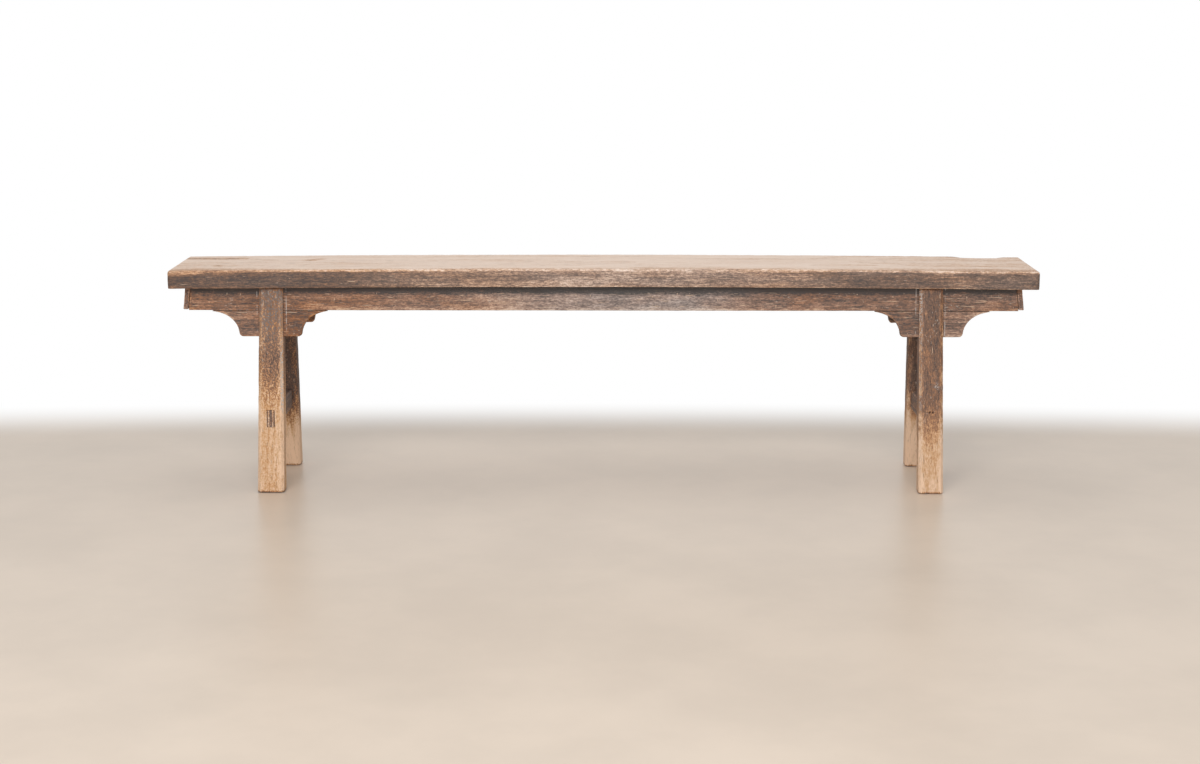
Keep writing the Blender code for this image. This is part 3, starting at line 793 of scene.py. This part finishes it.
def seat_ring(u, inset):
    x = u - SEAT_LENGTH / 2
    from_end = min(u, SEAT_LENGTH - u)
    above, below = rounded_off(from_end, SEAT_END_ARRIS), rounded_off(from_end, SEAT_LOWER_ARRIS)
    radii = (SEAT_LOWER_ARRIS, SEAT_ARRIS, SEAT_ARRIS, SEAT_LOWER_ARRIS)
    half_a, half_b = SEAT_WIDTH / 2 - SKIN - inset, (SEAT_THICKNESS - above - below) / 2 - SKIN
    ring = section(half_a, half_b, radii, SEAT_SHARES, crowded(12), steps=6)
    z = SEAT_BOTTOM + (SEAT_THICKNESS - above + below) / 2 + camber(x) + ring[:, 1]
    return np.stack([np.full(len(ring), x), ring[:, 0], z], axis=1), ring[:, 2]


def beside_check(x, y):
    """How far a place on the top stands from the check, in check widths, and how open it is there."""
    from_end = x + SEAT_LENGTH / 2
    line = CHECK_Y + CHECK_SWAY * np.sin(from_end * CHECK_WAVES)
    return np.abs(y - line) / CHECK_WIDTH, np.clip(1 - from_end / CHECK_LENGTH, 0, 1) ** 0.5


def shape_seat(mesh):
    """Opens the check and takes the waney strip off the back edge."""
    at = positions(mesh)
    x, y, z = at.T.copy()
    top = smooth(z - camber(x), SEAT_BOTTOM + 0.7 * SEAT_THICKNESS, SEAT_BOTTOM + 0.98 * SEAT_THICKNESS)
    widths, opening = beside_check(x, y)
    at[:, 2] -= CHECK_DEPTH * opening * np.clip(1 - widths, 0, 1) * (top > 0.9)
    swell = np.clip(1 - ((x - WANE_X) / WANE_HALF_LENGTH) ** 2, 0, 1) ** 2
    near_back = smooth(y, SEAT_WIDTH / 2 - WANE_WIDTH, SEAT_WIDTH / 2)
    at[:, 2] -= WANE_DROP * swell * near_back * top
    at[:, 1] -= WANE_CUT * swell * near_back * top
    mesh.vertices.foreach_set("co", at.ravel())


seat_stations = eased_stations(SEAT_LENGTH, SEAT_CORNER, SEAT_STEP, 8)
print("rings along the seat:", len(seat_stations))

# %% [markdown]
# ## The seat's film
# The film is a sum of soft steps. Each term is a strength, times the steps along, across or up the
# plank that say where it lies. The long faces are dark towards both ends and rubbed to honey on
# their edges. The top is almost bare, with darker ends, edges and knots and a stain in the check.

# %% Seat plank
TOP_FILM, SIDE_FILM = 0.09, 0.52  # where nothing is added
HONEY_AND_SHADE = 0.44  # film on the rubbed edges of the long faces, kept darker as painted shade against the light that the rounded top edge catches
KNOTS = ((-0.865, -0.045, 0.006), (-0.665, 0.035, 0.009), (-0.648, 0.052, 0.007))  # x, y and size
KNOT_FILM, KNOT_STRETCH = 0.42, 1.6
STAIN_FILM = 0.55


def seat_top_film(x, y):
    ends = 0.10 * smooth(x, 0.40, 0.90) + 0.05 * smooth(-x, 0.60, 0.95)
    back_edge = 0.22 * smooth(y, 0.098, 0.118) * smooth(x, 0.5, 0.8)
    by_wane = 0.55 * smooth(y, 0.100, 0.112) * smooth(x, 0.79, 0.81) * (1 - smooth(x, 0.85, 0.87))
    # the second step is painted shade on the rounded front edge, darkened against the light that it catches
    front_edge_and_shade = 0.16 * smooth(-y, 0.085, 0.112) + 0.16 * smooth(-y, 0.111, 0.117)
    film = TOP_FILM + ends + back_edge + by_wane + front_edge_and_shade
    for knot_x, knot_y, size in KNOTS:
        away = ((x - knot_x) / (KNOT_STRETCH * size)) ** 2 + ((y - knot_y) / size) ** 2
        film = film + KNOT_FILM * np.exp(-away)
    widths, opening = beside_check(x, y)
    stain = STAIN_FILM * opening**0.4 * (1 - smooth(widths, 1.0, 2.6)) * (opening > 0)
    return np.maximum(film, stain)


def seat_film(mesh):
    """Thick on the long faces towards both ends, thinner in the middle, and almost gone on top."""
    x, y, z = positions(mesh).T
    height = (z - camber(x) - SEAT_BOTTOM) / SEAT_THICKNESS
    ends = 0.22 * smooth(np.abs(x - 0.03), 0.12, 0.60) + 0.06 * smooth(-x, 0.3, 0.7)
    left_corner = 0.16 * (1 - smooth(x, -0.93, -0.86))
    rubbed = np.maximum(smooth(height + left_corner, 0.81, 0.93), 1 - smooth(height, 0.01, 0.06))
    side = between(SIDE_FILM + ends, HONEY_AND_SHADE, rubbed)
    top = smooth(height, 0.955, 0.99)
    return side * (1 - top) + seat_top_film(x, y) * top


def seat_dry(mesh):
    """The middle of the long faces has dried greyer, and their left ends have kept their brown."""
    x = positions(mesh)[:, 0]
    middle = 0.3 * (1 - smooth(np.abs(x), 0.15, 0.40))
    left_end = 0.3 * smooth(-x, 0.3, 0.6)
    return (middle - left_end) * smooth(seat_film(mesh), 0.25, 0.50)


seat_mesh = bar_mesh("worn_seat_plank", SEAT_LENGTH, seat_stations, seat_ring)
shape_seat(seat_mesh)
finish_piece(seat_mesh, "seat_plank", seat_finish, film=seat_film(seat_mesh), dry=seat_dry(seat_mesh))

# %% [markdown]
# ## Aprons
# The aprons lean with the legs, so their rings are drawn upright and then tilted. Their lower
# edges are the ones that knees and buckets have polished. Where a spandrel covers that edge, it
# has stayed crisp.

# %% Apron sizes
LEG_SPLAY = 0.043  # how far a foot stands out past its leg's top, across the bench
APRON_HEIGHT, APRON_THICKNESS = 0.051, 0.018
APRON_CRISP, APRON_SOFT, APRON_END_ARRIS = 0.0009, 0.0026, 0.0012
APRON_STEP = 0.0045
APRON_MIDDLE_Y = 0.08691  # middle of the apron at the seat's underside
END_LEAN = 0.097  # outward run of the end boards for each unit of drop
END_BOARD_THICKNESS, END_BOARD_HEIGHT = 0.012, 0.048
FIT_GAP = 0.0003
FRONT, BACK = -1, 1
FACES = {"front": FRONT, "back": BACK}
SIDES = {"left": -1, "right": 1}
SPLAY_RUN = LEG_SPLAY / SEAT_BOTTOM
SPLAY_ANGLE = math.atan(SPLAY_RUN)
SPANDREL_SPANS = [[end.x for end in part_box(f"spandrel_front_{side}")] for side in SIDES]
END_BOARD_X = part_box("end_board_right")[1].x - END_LEAN * END_BOARD_HEIGHT  # outer face under the seat


def tilted(face, x, y, z):
    """From an apron's own upright plane to the bench: y through the board, z up from the seat."""
    turn = face * SPLAY_ANGLE
    world_y = face * APRON_MIDDLE_Y + y * math.cos(turn) - z * math.sin(turn)
    world_z = SEAT_BOTTOM + y * math.sin(turn) + z * math.cos(turn)
    return np.stack([x, world_y, world_z], axis=1)


def end_x(z, depth):
    """Where an end board's outer face lies at a height, less a depth."""
    return END_BOARD_X - depth + END_LEAN * (SEAT_BOTTOM - z)


APRON_LENGTH = 2 * end_x(SEAT_BOTTOM, END_BOARD_THICKNESS)
print("aprons:", round(APRON_LENGTH, 4), "m long, leaning", round(math.degrees(SPLAY_ANGLE), 2), "degrees")

# %% Apron shape
SHELTER_EDGE = 0.004  # half width of the step from a sheltered edge to an open one


def apron_ring(face, u, inset):
    turn = face * SPLAY_ANGLE
    covered = any(low < u - APRON_LENGTH / 2 < high for low, high in SPANDREL_SPANS)
    lower = APRON_CRISP if covered else APRON_SOFT
    radii = (lower, APRON_CRISP, APRON_CRISP, lower)
    ring = section(*halves(inset, APRON_THICKNESS, APRON_HEIGHT), radii, crowded(8), crowded(16), steps=5)
    x = np.full(len(ring), u - APRON_LENGTH / 2)
    y, share = ring[:, 0], (ring[:, 1] + APRON_HEIGHT / 2) / APRON_HEIGHT
    top = (camber(x) - FIT_GAP - y * math.sin(turn)) / math.cos(turn)
    z = -APRON_HEIGHT + share * (APRON_HEIGHT + top)
    reach = end_x(SEAT_BOTTOM + z, END_BOARD_THICKNESS) - FIT_GAP
    return tilted(face, x * reach / (APRON_LENGTH / 2), y, z), ring[:, 2] * (share < 0.7)


def shelter_arris(mesh, places):
    """No wear on an edge that another board covers."""
    x = positions(mesh)[:, 0]
    values = np.empty(len(x), dtype=np.float32)
    mesh.attributes["arris"].data.foreach_get("value", values)
    for low, high in places:
        inside = smooth(x, low - SHELTER_EDGE, low + SHELTER_EDGE)
        values *= 1 - inside * (1 - smooth(x, high - SHELTER_EDGE, high + SHELTER_EDGE))
    store(mesh, "arris", values)


print("sheltered stretches of each apron:", len(SPANDREL_SPANS))

# %% Aprons
APRON_FILM = 0.68  # where nothing is added
APRON_RUBS = ((-0.855, 0.050, 0.08), (-0.655, 0.032, 0.16), (0.855, 0.045, 0.12))  # x, half length, strength


def apron_film(mesh):
    """A band of painted shade, with some grime, darkens the apron just under the seat. The lower half is
    brushed lighter, most of all in a few places.
    """
    x, _, z = positions(mesh).T
    drop = SEAT_BOTTOM - z
    rubbed = 0.16 * (1 - smooth(np.abs(x + 0.08), 0.15, 0.60)) - 0.03 * smooth(x, 0.1, 0.5)
    for rub_x, half_length, strength in APRON_RUBS:
        rubbed = rubbed + strength * np.exp(-(((x - rub_x) / half_length) ** 2)) * smooth(drop, 0.018, 0.028)
    right_joint = 0.3 * smooth(drop, 0.0485, 0.0500) * smooth(x, 0.5, 0.6)
    # painted shade: the apron's top is darkened where the seat's overhang shades it, together with some real
    # grime
    grime_and_shade = 0.60 * (1 - smooth(drop, 0.002, 0.019))
    return APRON_FILM + right_joint + grime_and_shade - rubbed * smooth(drop, 0.008, 0.024)


def apron_dry(mesh):
    """The middle of an apron has dried greyer than its ends, and its left end has kept its red."""
    x = positions(mesh)[:, 0]
    middle = 1 - smooth(np.abs(x - 0.05), 0.12, 0.42)
    left_end = 0.28 * smooth(-x, 0.5, 0.65)
    return middle - left_end


def apron_residue(mesh):
    """Old wax in the joint between the apron and the left spandrel."""
    x, _, z = positions(mesh).T
    low, high = SPANDREL_SPANS[0]
    near = smooth(x, low, low + 0.02) * (1 - smooth(x, high - 0.04, high - 0.02))
    return 0.75 * near * smooth(SEAT_BOTTOM - z, 0.0480, 0.0498)


for face_name, face in FACES.items():
    node = f"apron_{face_name}"
    stations = eased_stations(APRON_LENGTH, APRON_END_ARRIS, APRON_STEP)
    mesh = bar_mesh("worn_" + node, APRON_LENGTH, stations, partial(apron_ring, face))
    looks = {"film": apron_film(mesh), "dry": apron_dry(mesh), "residue": apron_residue(mesh)}
    shelter_arris(mesh, SPANDREL_SPANS)
    finish_piece(mesh, node, apron_finish, **looks)

# %% [markdown]
# ## Spandrels
# A spandrel is a board with a cove sawn into each wing. It is drawn as rings along the bench
# whose height follows the cove. The stations step along the curve itself and not along the bench,
# so the steep part of the cove stays smooth.

# %% Spandrel outline
SPANDREL_DROP = 0.058
SPANDREL_REACH = {"outer": (0.132, 0.073), "inner": (0.123, 0.066)}  # at the apron, at the foot
SPANDREL_TIP = 0.0015
SPANDREL_CORNER = 0.008
COVE_BEND = (0.006, 0.010)  # the point that the cove turns about: past the foot, below the apron
SPANDREL_TOP = -APRON_HEIGHT - FIT_GAP
CURVE_STEPS, CORNER_STEPS, FOOT_STEPS = 34, 10, 40
LEG_TOP_X = {"left": -0.7375, "right": 0.7275}


def cove(top_reach, foot_reach):
    """(reach, drop) from a wing's tip to its foot."""
    start = np.array((top_reach, SPANDREL_TIP))
    bend = np.array((foot_reach + COVE_BEND[0], COVE_BEND[1]))
    end = np.array((foot_reach, SPANDREL_DROP - SPANDREL_CORNER))
    points = []
    for i in range(CURVE_STEPS + 1):
        t = i / CURVE_STEPS
        points.append((1 - t) ** 2 * start + 2 * t * (1 - t) * bend + t**2 * end)
    for i in range(1, CORNER_STEPS + 1):
        turn = math.pi / 2 * i / CORNER_STEPS
        reach = foot_reach - SPANDREL_CORNER * (1 - math.cos(turn))
        points.append(np.array((reach, SPANDREL_DROP - SPANDREL_CORNER * (1 - math.sin(turn)))))
    return points


def spandrel_profile(direction):
    """(x from the leg's middle, drop) along the lower edge, from left to right."""
    outer = [(direction * reach, drop) for reach, drop in cove(*SPANDREL_REACH["outer"])]
    inner = [(-direction * reach, drop) for reach, drop in cove(*SPANDREL_REACH["inner"])]
    start, end = outer[-1][0], inner[-1][0]
    foot = [(start + (end - start) * i / FOOT_STEPS, SPANDREL_DROP) for i in range(1, FOOT_STEPS)]
    line = outer + foot + inner[::-1]
    return line if line[0][0] < line[-1][0] else line[::-1]


print("points along a spandrel:", len(spandrel_profile(SIDES["right"])))

# %% Spandrels
SPANDREL_SOFT, SPANDREL_CRISP = 0.0022, 0.0006  # arrises below and above
SPANDREL_LEAST = 0.0004  # least half height, at a wing's tip
SPANDREL_FILM = {"left": (0.64, 0.75), "right": (0.58, 0.82)}  # on the outer wing, on the inner one
SPANDREL_DRY = {"left": (-0.10, -0.45), "right": (0.20, 0.0)}


def spandrel_ring(face, side, place):
    offset, drop = place
    half_b = max(drop / 2 - SKIN, SPANDREL_LEAST)
    soft, crisp = min(SPANDREL_SOFT, 0.7 * half_b), min(SPANDREL_CRISP, 0.4 * half_b)
    radii = (soft, crisp, crisp, soft)
    ring = section(APRON_THICKNESS / 2 - SKIN, half_b, radii, crowded(8), crowded(14), steps=5)
    x = np.full(len(ring), LEG_TOP_X[side] + offset)
    arris = ring[:, 2] * (ring[:, 1] < 0.5 * half_b)
    return tilted(face, x, ring[:, 0], SPANDREL_TOP - drop / 2 + ring[:, 1]), arris


def on_wings(mesh, side, values):
    """Blends from the outer wing's value to the inner one's."""
    x = positions(mesh)[:, 0]
    return between(*values[side], smooth(abs(LEG_TOP_X[side]) - np.abs(x), -0.02, 0.02))


def spandrel_film(mesh, side):
    """Darker on the wing that faces the middle of the bench, and rubbed at the foot."""
    z = positions(mesh)[:, 2]
    rubbed = 0.06 * smooth(SEAT_BOTTOM - z, 0.085, 0.110)
    return on_wings(mesh, side, SPANDREL_FILM) - rubbed


for face_name, face in FACES.items():
    for side in SIDES:
        node = f"spandrel_{face_name}_{side}"
        mesh = listed_bar("worn_" + node, spandrel_profile(SIDES[side]), partial(spandrel_ring, face, side))
        looks = {"film": spandrel_film(mesh, side), "dry": on_wings(mesh, side, SPANDREL_DRY)}
        finish_piece(mesh, node, apron_finish, **looks)

# %% [markdown]
# ## End boards
# Two short boards close the apron frame. Their grain runs across the bench, so their end grain
# shows on the front beside the apron.

# %% End boards
END_HALF_Y = APRON_MIDDLE_Y + APRON_THICKNESS / 2 / math.cos(SPLAY_ANGLE)
END_BOARD_RADII = (0.002, 0.0008, 0.0008, 0.002)
END_BOARD_ARRIS, END_BOARD_STEP = 0.001, 0.004
END_BOARD_FILM = 0.74


def end_board_ring(direction, u, inset):
    half_a, half_b = halves(inset, END_BOARD_THICKNESS, END_BOARD_HEIGHT)
    ring = section(half_a, half_b, END_BOARD_RADII, crowded(6), crowded(14), steps=4)
    z = SEAT_BOTTOM - END_BOARD_HEIGHT / 2 + ring[:, 1] - FIT_GAP / 2
    reach = END_HALF_Y + SPLAY_RUN * (SEAT_BOTTOM - z) - SKIN
    y = (u / END_HALF_Y - 1) * reach
    x = direction * (end_x(z, END_BOARD_THICKNESS / 2) + ring[:, 0])
    return np.stack([x, y, z], axis=1), ring[:, 2]


for side, direction in SIDES.items():
    node = f"end_board_{side}"
    stations = eased_stations(2 * END_HALF_Y, END_BOARD_ARRIS, END_BOARD_STEP)
    mesh = bar_mesh("worn_" + node, 2 * END_HALF_Y, stations, partial(end_board_ring, direction))
    finish_piece(joint_cut(mesh, node), node, end_finish, film=END_BOARD_FILM)

# %% [markdown]
# ## Legs
# A leg is a square post with its corners planed off, splayed outwards, and three of the four are
# a little wider at the foot. The post is drawn whole, and its slot, its mortise and any nail holes
# are then cut by keeping only what also lies inside the frame's own leg. Because the post lies a
# hair inside that solid, its faces stay untouched and only the joints are cut.

# %% Leg shape
LEG_THICKNESS = 0.042
LEG_DEPTH = LEG_THICKNESS / math.cos(SPLAY_ANGLE)  # along the floor
LEG_SIDE_SPLAY = 0.007
LEG_CHAMFER = 0.006
LEG_END_ARRIS, LEG_STEP = 0.0025, 0.004
LEG_OUTER_Y = 0.107
LEG_WIDTHS = {  # at the top, at the foot
    "leg_front_left": (0.054, 0.0605),
    "leg_front_right": (0.0535, 0.0565),
    "leg_back_left": (0.046, 0.055),
    "leg_back_right": (0.044, 0.044),
}


def splayed(z):
    """Share of the splay at a height: 0 under the seat, 1 on the floor."""
    return (SEAT_BOTTOM - z) / SEAT_BOTTOM


def leg_middle_x(side, z):
    return LEG_TOP_X[side] + SIDES[side] * LEG_SIDE_SPLAY * splayed(z)


def leg_face_y(z):
    """How far a leg's outer face stands from the middle of the bench at a height."""
    return LEG_OUTER_Y + LEG_SPLAY * splayed(z)


def leg_ring(face, side, widths, shoulder, u, inset):
    z = u * (shoulder - 2 * SKIN) / shoulder + SKIN
    half_a, half_b = halves(inset, between(*widths, 1 - z / shoulder), LEG_DEPTH)
    radii = (LEG_CHAMFER - 0.3 * inset,) * 4
    ring = section(half_a, half_b, radii, crowded(14), crowded(12), steps=6, roundness=0.0)
    x = leg_middle_x(side, z) + ring[:, 0]
    y = face * (LEG_OUTER_Y - LEG_DEPTH / 2 + LEG_SPLAY * splayed(z)) + ring[:, 1]
    return np.stack([x, y, np.full(len(ring), z)], axis=1), ring[:, 2]


print("leg depth along the floor:", round(LEG_DEPTH, 5))

# %% [markdown]
# ## The legs' film
# Hands, smoke and grime darken the upper part of a leg, and mops and feet have scrubbed the lower
# part bare. Where the one gives way to the other differs from leg to leg, so each has its own row.

# %% Legs
LEG_FINISHES = {"left": speckled_leg, "right": streaked_leg}
LEG_FILM = {  # height where the film gives way to bare wood, film above it, below it and at the foot
    "leg_front_left": (0.237, 0.65, 0.195, 0.235),
    "leg_front_right": (0.172, 0.83, 0.30, 0.17),
    "leg_back_left": (0.122, 0.86, 0.0, 0.0),
    "leg_back_right": (0.140, 0.88, 0.0, 0.0),
}
BARE_BLEND = 0.075  # height over which the film thins out
LEG_DRY = {"leg_front_right": 0.12, "leg_back_right": 0.1}
LEG_PAINT = {"leg_front_right": (0.5, 1.0)}  # old paint on the inner chamfer: low down, near the top
USUAL_PAINT = (1.0, 0.3)
LEG_FLECKS = {"leg_front_left": 0.20}  # pale flecks on the upper part of a leg
SCUFFED_LEG, SCUFF_PLACE, SCUFF_STRETCH = "leg_front_right", (0.742, 0.242), 1.4  # a pale scuff: x and z


def leg_film(mesh, node):
    """Dark above, bare below, and darkened in a thin band at the foot as a painted contact shadow."""
    z = positions(mesh)[:, 2]
    edge, above, below, foot = LEG_FILM[node]
    below = between(below, foot, 1 - smooth(z, 0.02, 0.13))
    film = between(below, above, smooth(z, edge - BARE_BLEND, edge + BARE_BLEND))
    grime_and_shade = (0.07 + 0.4 * LEG_FLECKS.get(node, 0.0)) * smooth(z, 0.34, 0.44)
    # painted shadow: a thin dark band at the very foot stands in for the contact shadow on the floor
    foot_contact_shadow = 0.7 * (1 - smooth(z, 0.0015, 0.0045))
    return film + grime_and_shade + foot_contact_shadow


def leg_residue(mesh, face, side, node):
    """Old paint on the chamfer that faces the middle of the bench, and flecks of it high up."""
    x, y, z = positions(mesh).T
    half = between(*LEG_WIDTHS[node], splayed(z)) / 2
    edge_x = leg_middle_x(side, z) - SIDES[side] * half
    near = 1 - smooth(np.hypot(x - edge_x, y - face * leg_face_y(z)), 0.0050, 0.0075)
    strength = between(*LEG_PAINT.get(node, USUAL_PAINT), smooth(z, 0.32, 0.36))
    paint = near * strength * smooth(z, 0.15, 0.21)
    flecks = LEG_FLECKS.get(node, 0.0) * smooth(z, 0.30, 0.40)
    if node == SCUFFED_LEG:
        away = np.hypot(x - SCUFF_PLACE[0], (z - SCUFF_PLACE[1]) / SCUFF_STRETCH)
        flecks = flecks + 0.8 * (1 - smooth(away, 0.003, 0.009)) * (face * y > LEG_OUTER_Y)
    return np.maximum(paint, flecks)


for face_name, face in FACES.items():
    for side in SIDES:
        node = f"leg_{face_name}_{side}"
        outer_x = abs(LEG_TOP_X[side]) + LEG_WIDTHS[node][0] / 2
        shoulder = SEAT_BOTTOM + camber(outer_x) - FIT_GAP
        stations = eased_stations(shoulder, LEG_END_ARRIS, LEG_STEP)
        ring_at = partial(leg_ring, face, side, LEG_WIDTHS[node], shoulder)
        mesh = joint_cut(bar_mesh("worn_" + node, shoulder, stations, ring_at), node)
        looks = {"film": leg_film(mesh, node), "residue": leg_residue(mesh, face, side, node)}
        finish_piece(mesh, node, LEG_FINISHES[side], **looks, dry=LEG_DRY.get(node, 0.0))

# %% [markdown]
# ## Stretchers
# Each stretcher has a shouldered body and a thinner tenon at both ends. Its rings follow that
# step, and its shoulders and tenon ends slope with the legs.

# %% Stretcher shape
STRETCHER_HEIGHT = 0.167
STRETCHER_HALF, STRETCHER_ARRIS = (0.013, 0.022), 0.003
TENON_HALF, TENON_ARRIS = (0.0085, 0.019), 0.0006
TENON_EASE, SHOULDER_EASE = 0.0012, 0.002  # length of the eased end of a tenon and of the body
STRETCHER_STATIONS = 60
STOPPED_COVER = {"left": 0.0, "right": 0.010}  # leg left in front of the front tenon
SHOULDER_DEPTH = LEG_DEPTH + FIT_GAP + SKIN


def stretcher_end(face, cover):
    """Rings from a tenon's end to the body: side, depth behind the leg's face, half sizes, inset."""
    return [
        (face, cover + SKIN, TENON_HALF, TENON_EASE),
        (face, cover + TENON_EASE, TENON_HALF, 0.0),
        (face, SHOULDER_DEPTH, TENON_HALF, 0.0),
        (face, SHOULDER_DEPTH, STRETCHER_HALF, SHOULDER_EASE),
        (face, SHOULDER_DEPTH + SHOULDER_EASE, STRETCHER_HALF, 0.0),
    ]


def stretcher_places(side):
    shares = np.linspace(FRONT, BACK, STRETCHER_STATIONS)[1:-1]
    body = [(share, SHOULDER_DEPTH + SHOULDER_EASE, STRETCHER_HALF, 0.0) for share in shares]
    return stretcher_end(FRONT, STOPPED_COVER[side]) + body + stretcher_end(BACK, 0.0)[::-1]


def stretcher_ring(side, place):
    across, depth, half, inset = place
    radii = (STRETCHER_ARRIS if half is STRETCHER_HALF else TENON_ARRIS,) * 4
    half_a, half_b = half[0] - SKIN - inset, half[1] - SKIN - inset
    ring = section(half_a, half_b, radii, crowded(6), crowded(10), steps=5)
    z = STRETCHER_HEIGHT + ring[:, 1]
    y = across * (leg_face_y(z) - depth)
    return np.stack([leg_middle_x(side, STRETCHER_HEIGHT) + ring[:, 0], y, z], axis=1), ring[:, 2]


print("stretchers stand at", [round(leg_middle_x(side, STRETCHER_HEIGHT), 4) for side in SIDES])

# %% Stretchers
STRETCHER_FILM = 0.84
TENON_PALER, TENON_OUTLINE = 0.36, 0.55  # film that a tenon's end lacks, and that its sides have more


def stretcher_film(mesh, side):
    """Dark all along, but paler on a tenon's end, between two dark sides."""
    x, y, z = positions(mesh).T
    outline = smooth(np.abs(x - leg_middle_x(side, STRETCHER_HEIGHT)) / TENON_HALF[0], 0.60, 0.90)
    end = 1 - smooth(leg_face_y(z) - np.abs(y), 0.0030, 0.0040)
    return STRETCHER_FILM + end * (TENON_OUTLINE * outline - TENON_PALER)


for side in SIDES:
    node = f"stretcher_{side}"
    mesh = listed_bar("worn_" + node, stretcher_places(side), partial(stretcher_ring, side))
    mesh = joint_cut(mesh, node)
    finish_piece(mesh, node, stretcher_finish, film=stretcher_film(mesh, side))

# %% [markdown]
# ## Wedges, dowels, pins and nails
# The small fastenings keep the frame's own shapes, which are right as they are. They only need
# the finish of dark end grain, bamboo and rusted iron.

# %% Small fastenings
DARK_RUST, RED_RUST = (0.03, 0.016, 0.012, 1.0), (0.11, 0.045, 0.024, 1.0)

iron, iron_shader, iron_place = new_material("rusted_iron")
rust = noise(iron_place, 900.0, 3.0)
rust_colour = mix_colour(ramp(rust, 0.4, 0.6), DARK_RUST, RED_RUST)
rust_rough = ramp(rust, 0.3, 0.7, 0.6, 0.9)
rust_bump = bump(rust, 0.5, 0.0004)
fill(iron_shader, {"Base Color": rust_colour, "Roughness": rust_rough, "Normal": rust_bump})

SMALL_FINISHES = {"wedge": wedge_finish, "dowel": bamboo_finish, "pin": bamboo_finish, "nail": iron}
dressed = 0
for node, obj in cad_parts.items():
    finish = SMALL_FINISHES.get(node.split("_")[0])
    if finish:
        obj.data.materials.clear()
        obj.data.materials.append(finish)
        dressed += 1
print("small fastenings dressed:", dressed)

# %% [markdown]
# ## Floor and light
# A plain pale floor carries the shadow and fades to white behind the bench. The light is soft:
# a wide lamp above and in front, a fainter one low in front, another overhead, and an even pale
# world, which only the camera and reflections see as white.

# %% Floor
FLOOR_SIZE = 40.0
FLOOR_COLOUR = (0.69, 0.58, 0.475)
FLOOR_ROUGHNESS, FLOOR_SHEEN = 0.34, 0.35
FADE_MIDDLE = (0.0, -1.6, 0.0)  # the floor is coloured about this place, and white farther out
FADE_SQUEEZE = (0.35, 1, 1)  # makes the coloured place wider than it is deep
FADE_START, FADE_END = 2.05, 2.45

half = FLOOR_SIZE / 2
floor_corners = [(-half, -half, 0), (half, -half, 0), (half, half, 0), (-half, half, 0)]
floor_mesh = bpy.data.meshes.new("floor")
floor_mesh.from_pydata(floor_corners, [], [(0, 1, 2, 3)])
floor = put("floor", floor_mesh)
floor_finish, floor_shader, floor_place = new_material("floor_finish")
floor_tree = floor_finish.node_tree
around = vector_node("SUBTRACT", floor_place, FADE_MIDDLE)
around = vector_node("MULTIPLY", around, FADE_SQUEEZE)
reach = chain("ShaderNodeVectorMath", {0: around}, "Value", operation="LENGTH")
cloudy = ramp(noise(floor_place, 2.2, 5.0, 0.6), 0.3, 0.7, 0.95, 1.05)
floor_tint = vector_node("MULTIPLY", FLOOR_COLOUR, cloudy)
floor_looks = {"Base Color": floor_tint, "Roughness": FLOOR_ROUGHNESS, "Specular IOR Level": FLOOR_SHEEN}
fill(floor_shader, floor_looks)
white = add(floor_tree, "ShaderNodeEmission", {"Strength": 1.0})
seen = add(floor_tree, "ShaderNodeLightPath").outputs["Is Camera Ray"]
fade = times(ramp(reach, FADE_START, FADE_END), seen)
floor_mix = chain("ShaderNodeMixShader", {0: fade, 1: floor_shader.outputs[0], 2: white.outputs[0]})
fill(floor_tree.nodes["Material Output"], {"Surface": floor_mix})
floor_mesh.materials.append(floor_finish)
print("floor:", FLOOR_SIZE, "m wide, white from", FADE_END, "m")

# %% Light
WORLD_LIGHT = 0.36
LAMPS = (  # name, place, aim, size and power
    ("key_lamp", (-0.7, -4.8, 3.5), (0, 0, 0.2), (4.0, 2.2), 200.0),
    ("fill_lamp", (0.3, -4.2, 0.7), (0, 0, 0.25), (3.0, 0.8), 22.0),
    ("top_lamp", (0.2, 0.2, 3.0), (0, 0, 0.4), (3.4, 1.8), 18.0),
)

for name, place, aim, size, power in LAMPS:
    lamp = bpy.data.lights.new(name, "AREA")
    lamp.shape = "RECTANGLE"
    lamp.size, lamp.size_y = size
    lamp.energy = power
    towards = np.array(aim) - np.array(place)
    level = math.hypot(towards[0], towards[1])
    obj = put(name, lamp)
    obj.location = place
    obj.rotation_euler = (math.atan2(level, -towards[2]), 0, math.atan2(-towards[0], towards[1]))

world = bpy.data.worlds.new("world")
scene.world = world
world.use_nodes = True
sky = world.node_tree
rays = add(sky, "ShaderNodeLightPath").outputs
seen = math_node("MAXIMUM", rays["Is Camera Ray"], rays["Is Glossy Ray"])
seen = math_node("MAXIMUM", seen, rays["Is Transmission Ray"])
strength = times_plus(seen, 1.0 - WORLD_LIGHT, WORLD_LIGHT)
fill(sky.nodes["Background"], {"Strength": strength, "Color": (1, 1, 1, 1)})
scene.view_settings.view_transform = "Standard"
print("lamps:", len(LAMPS))
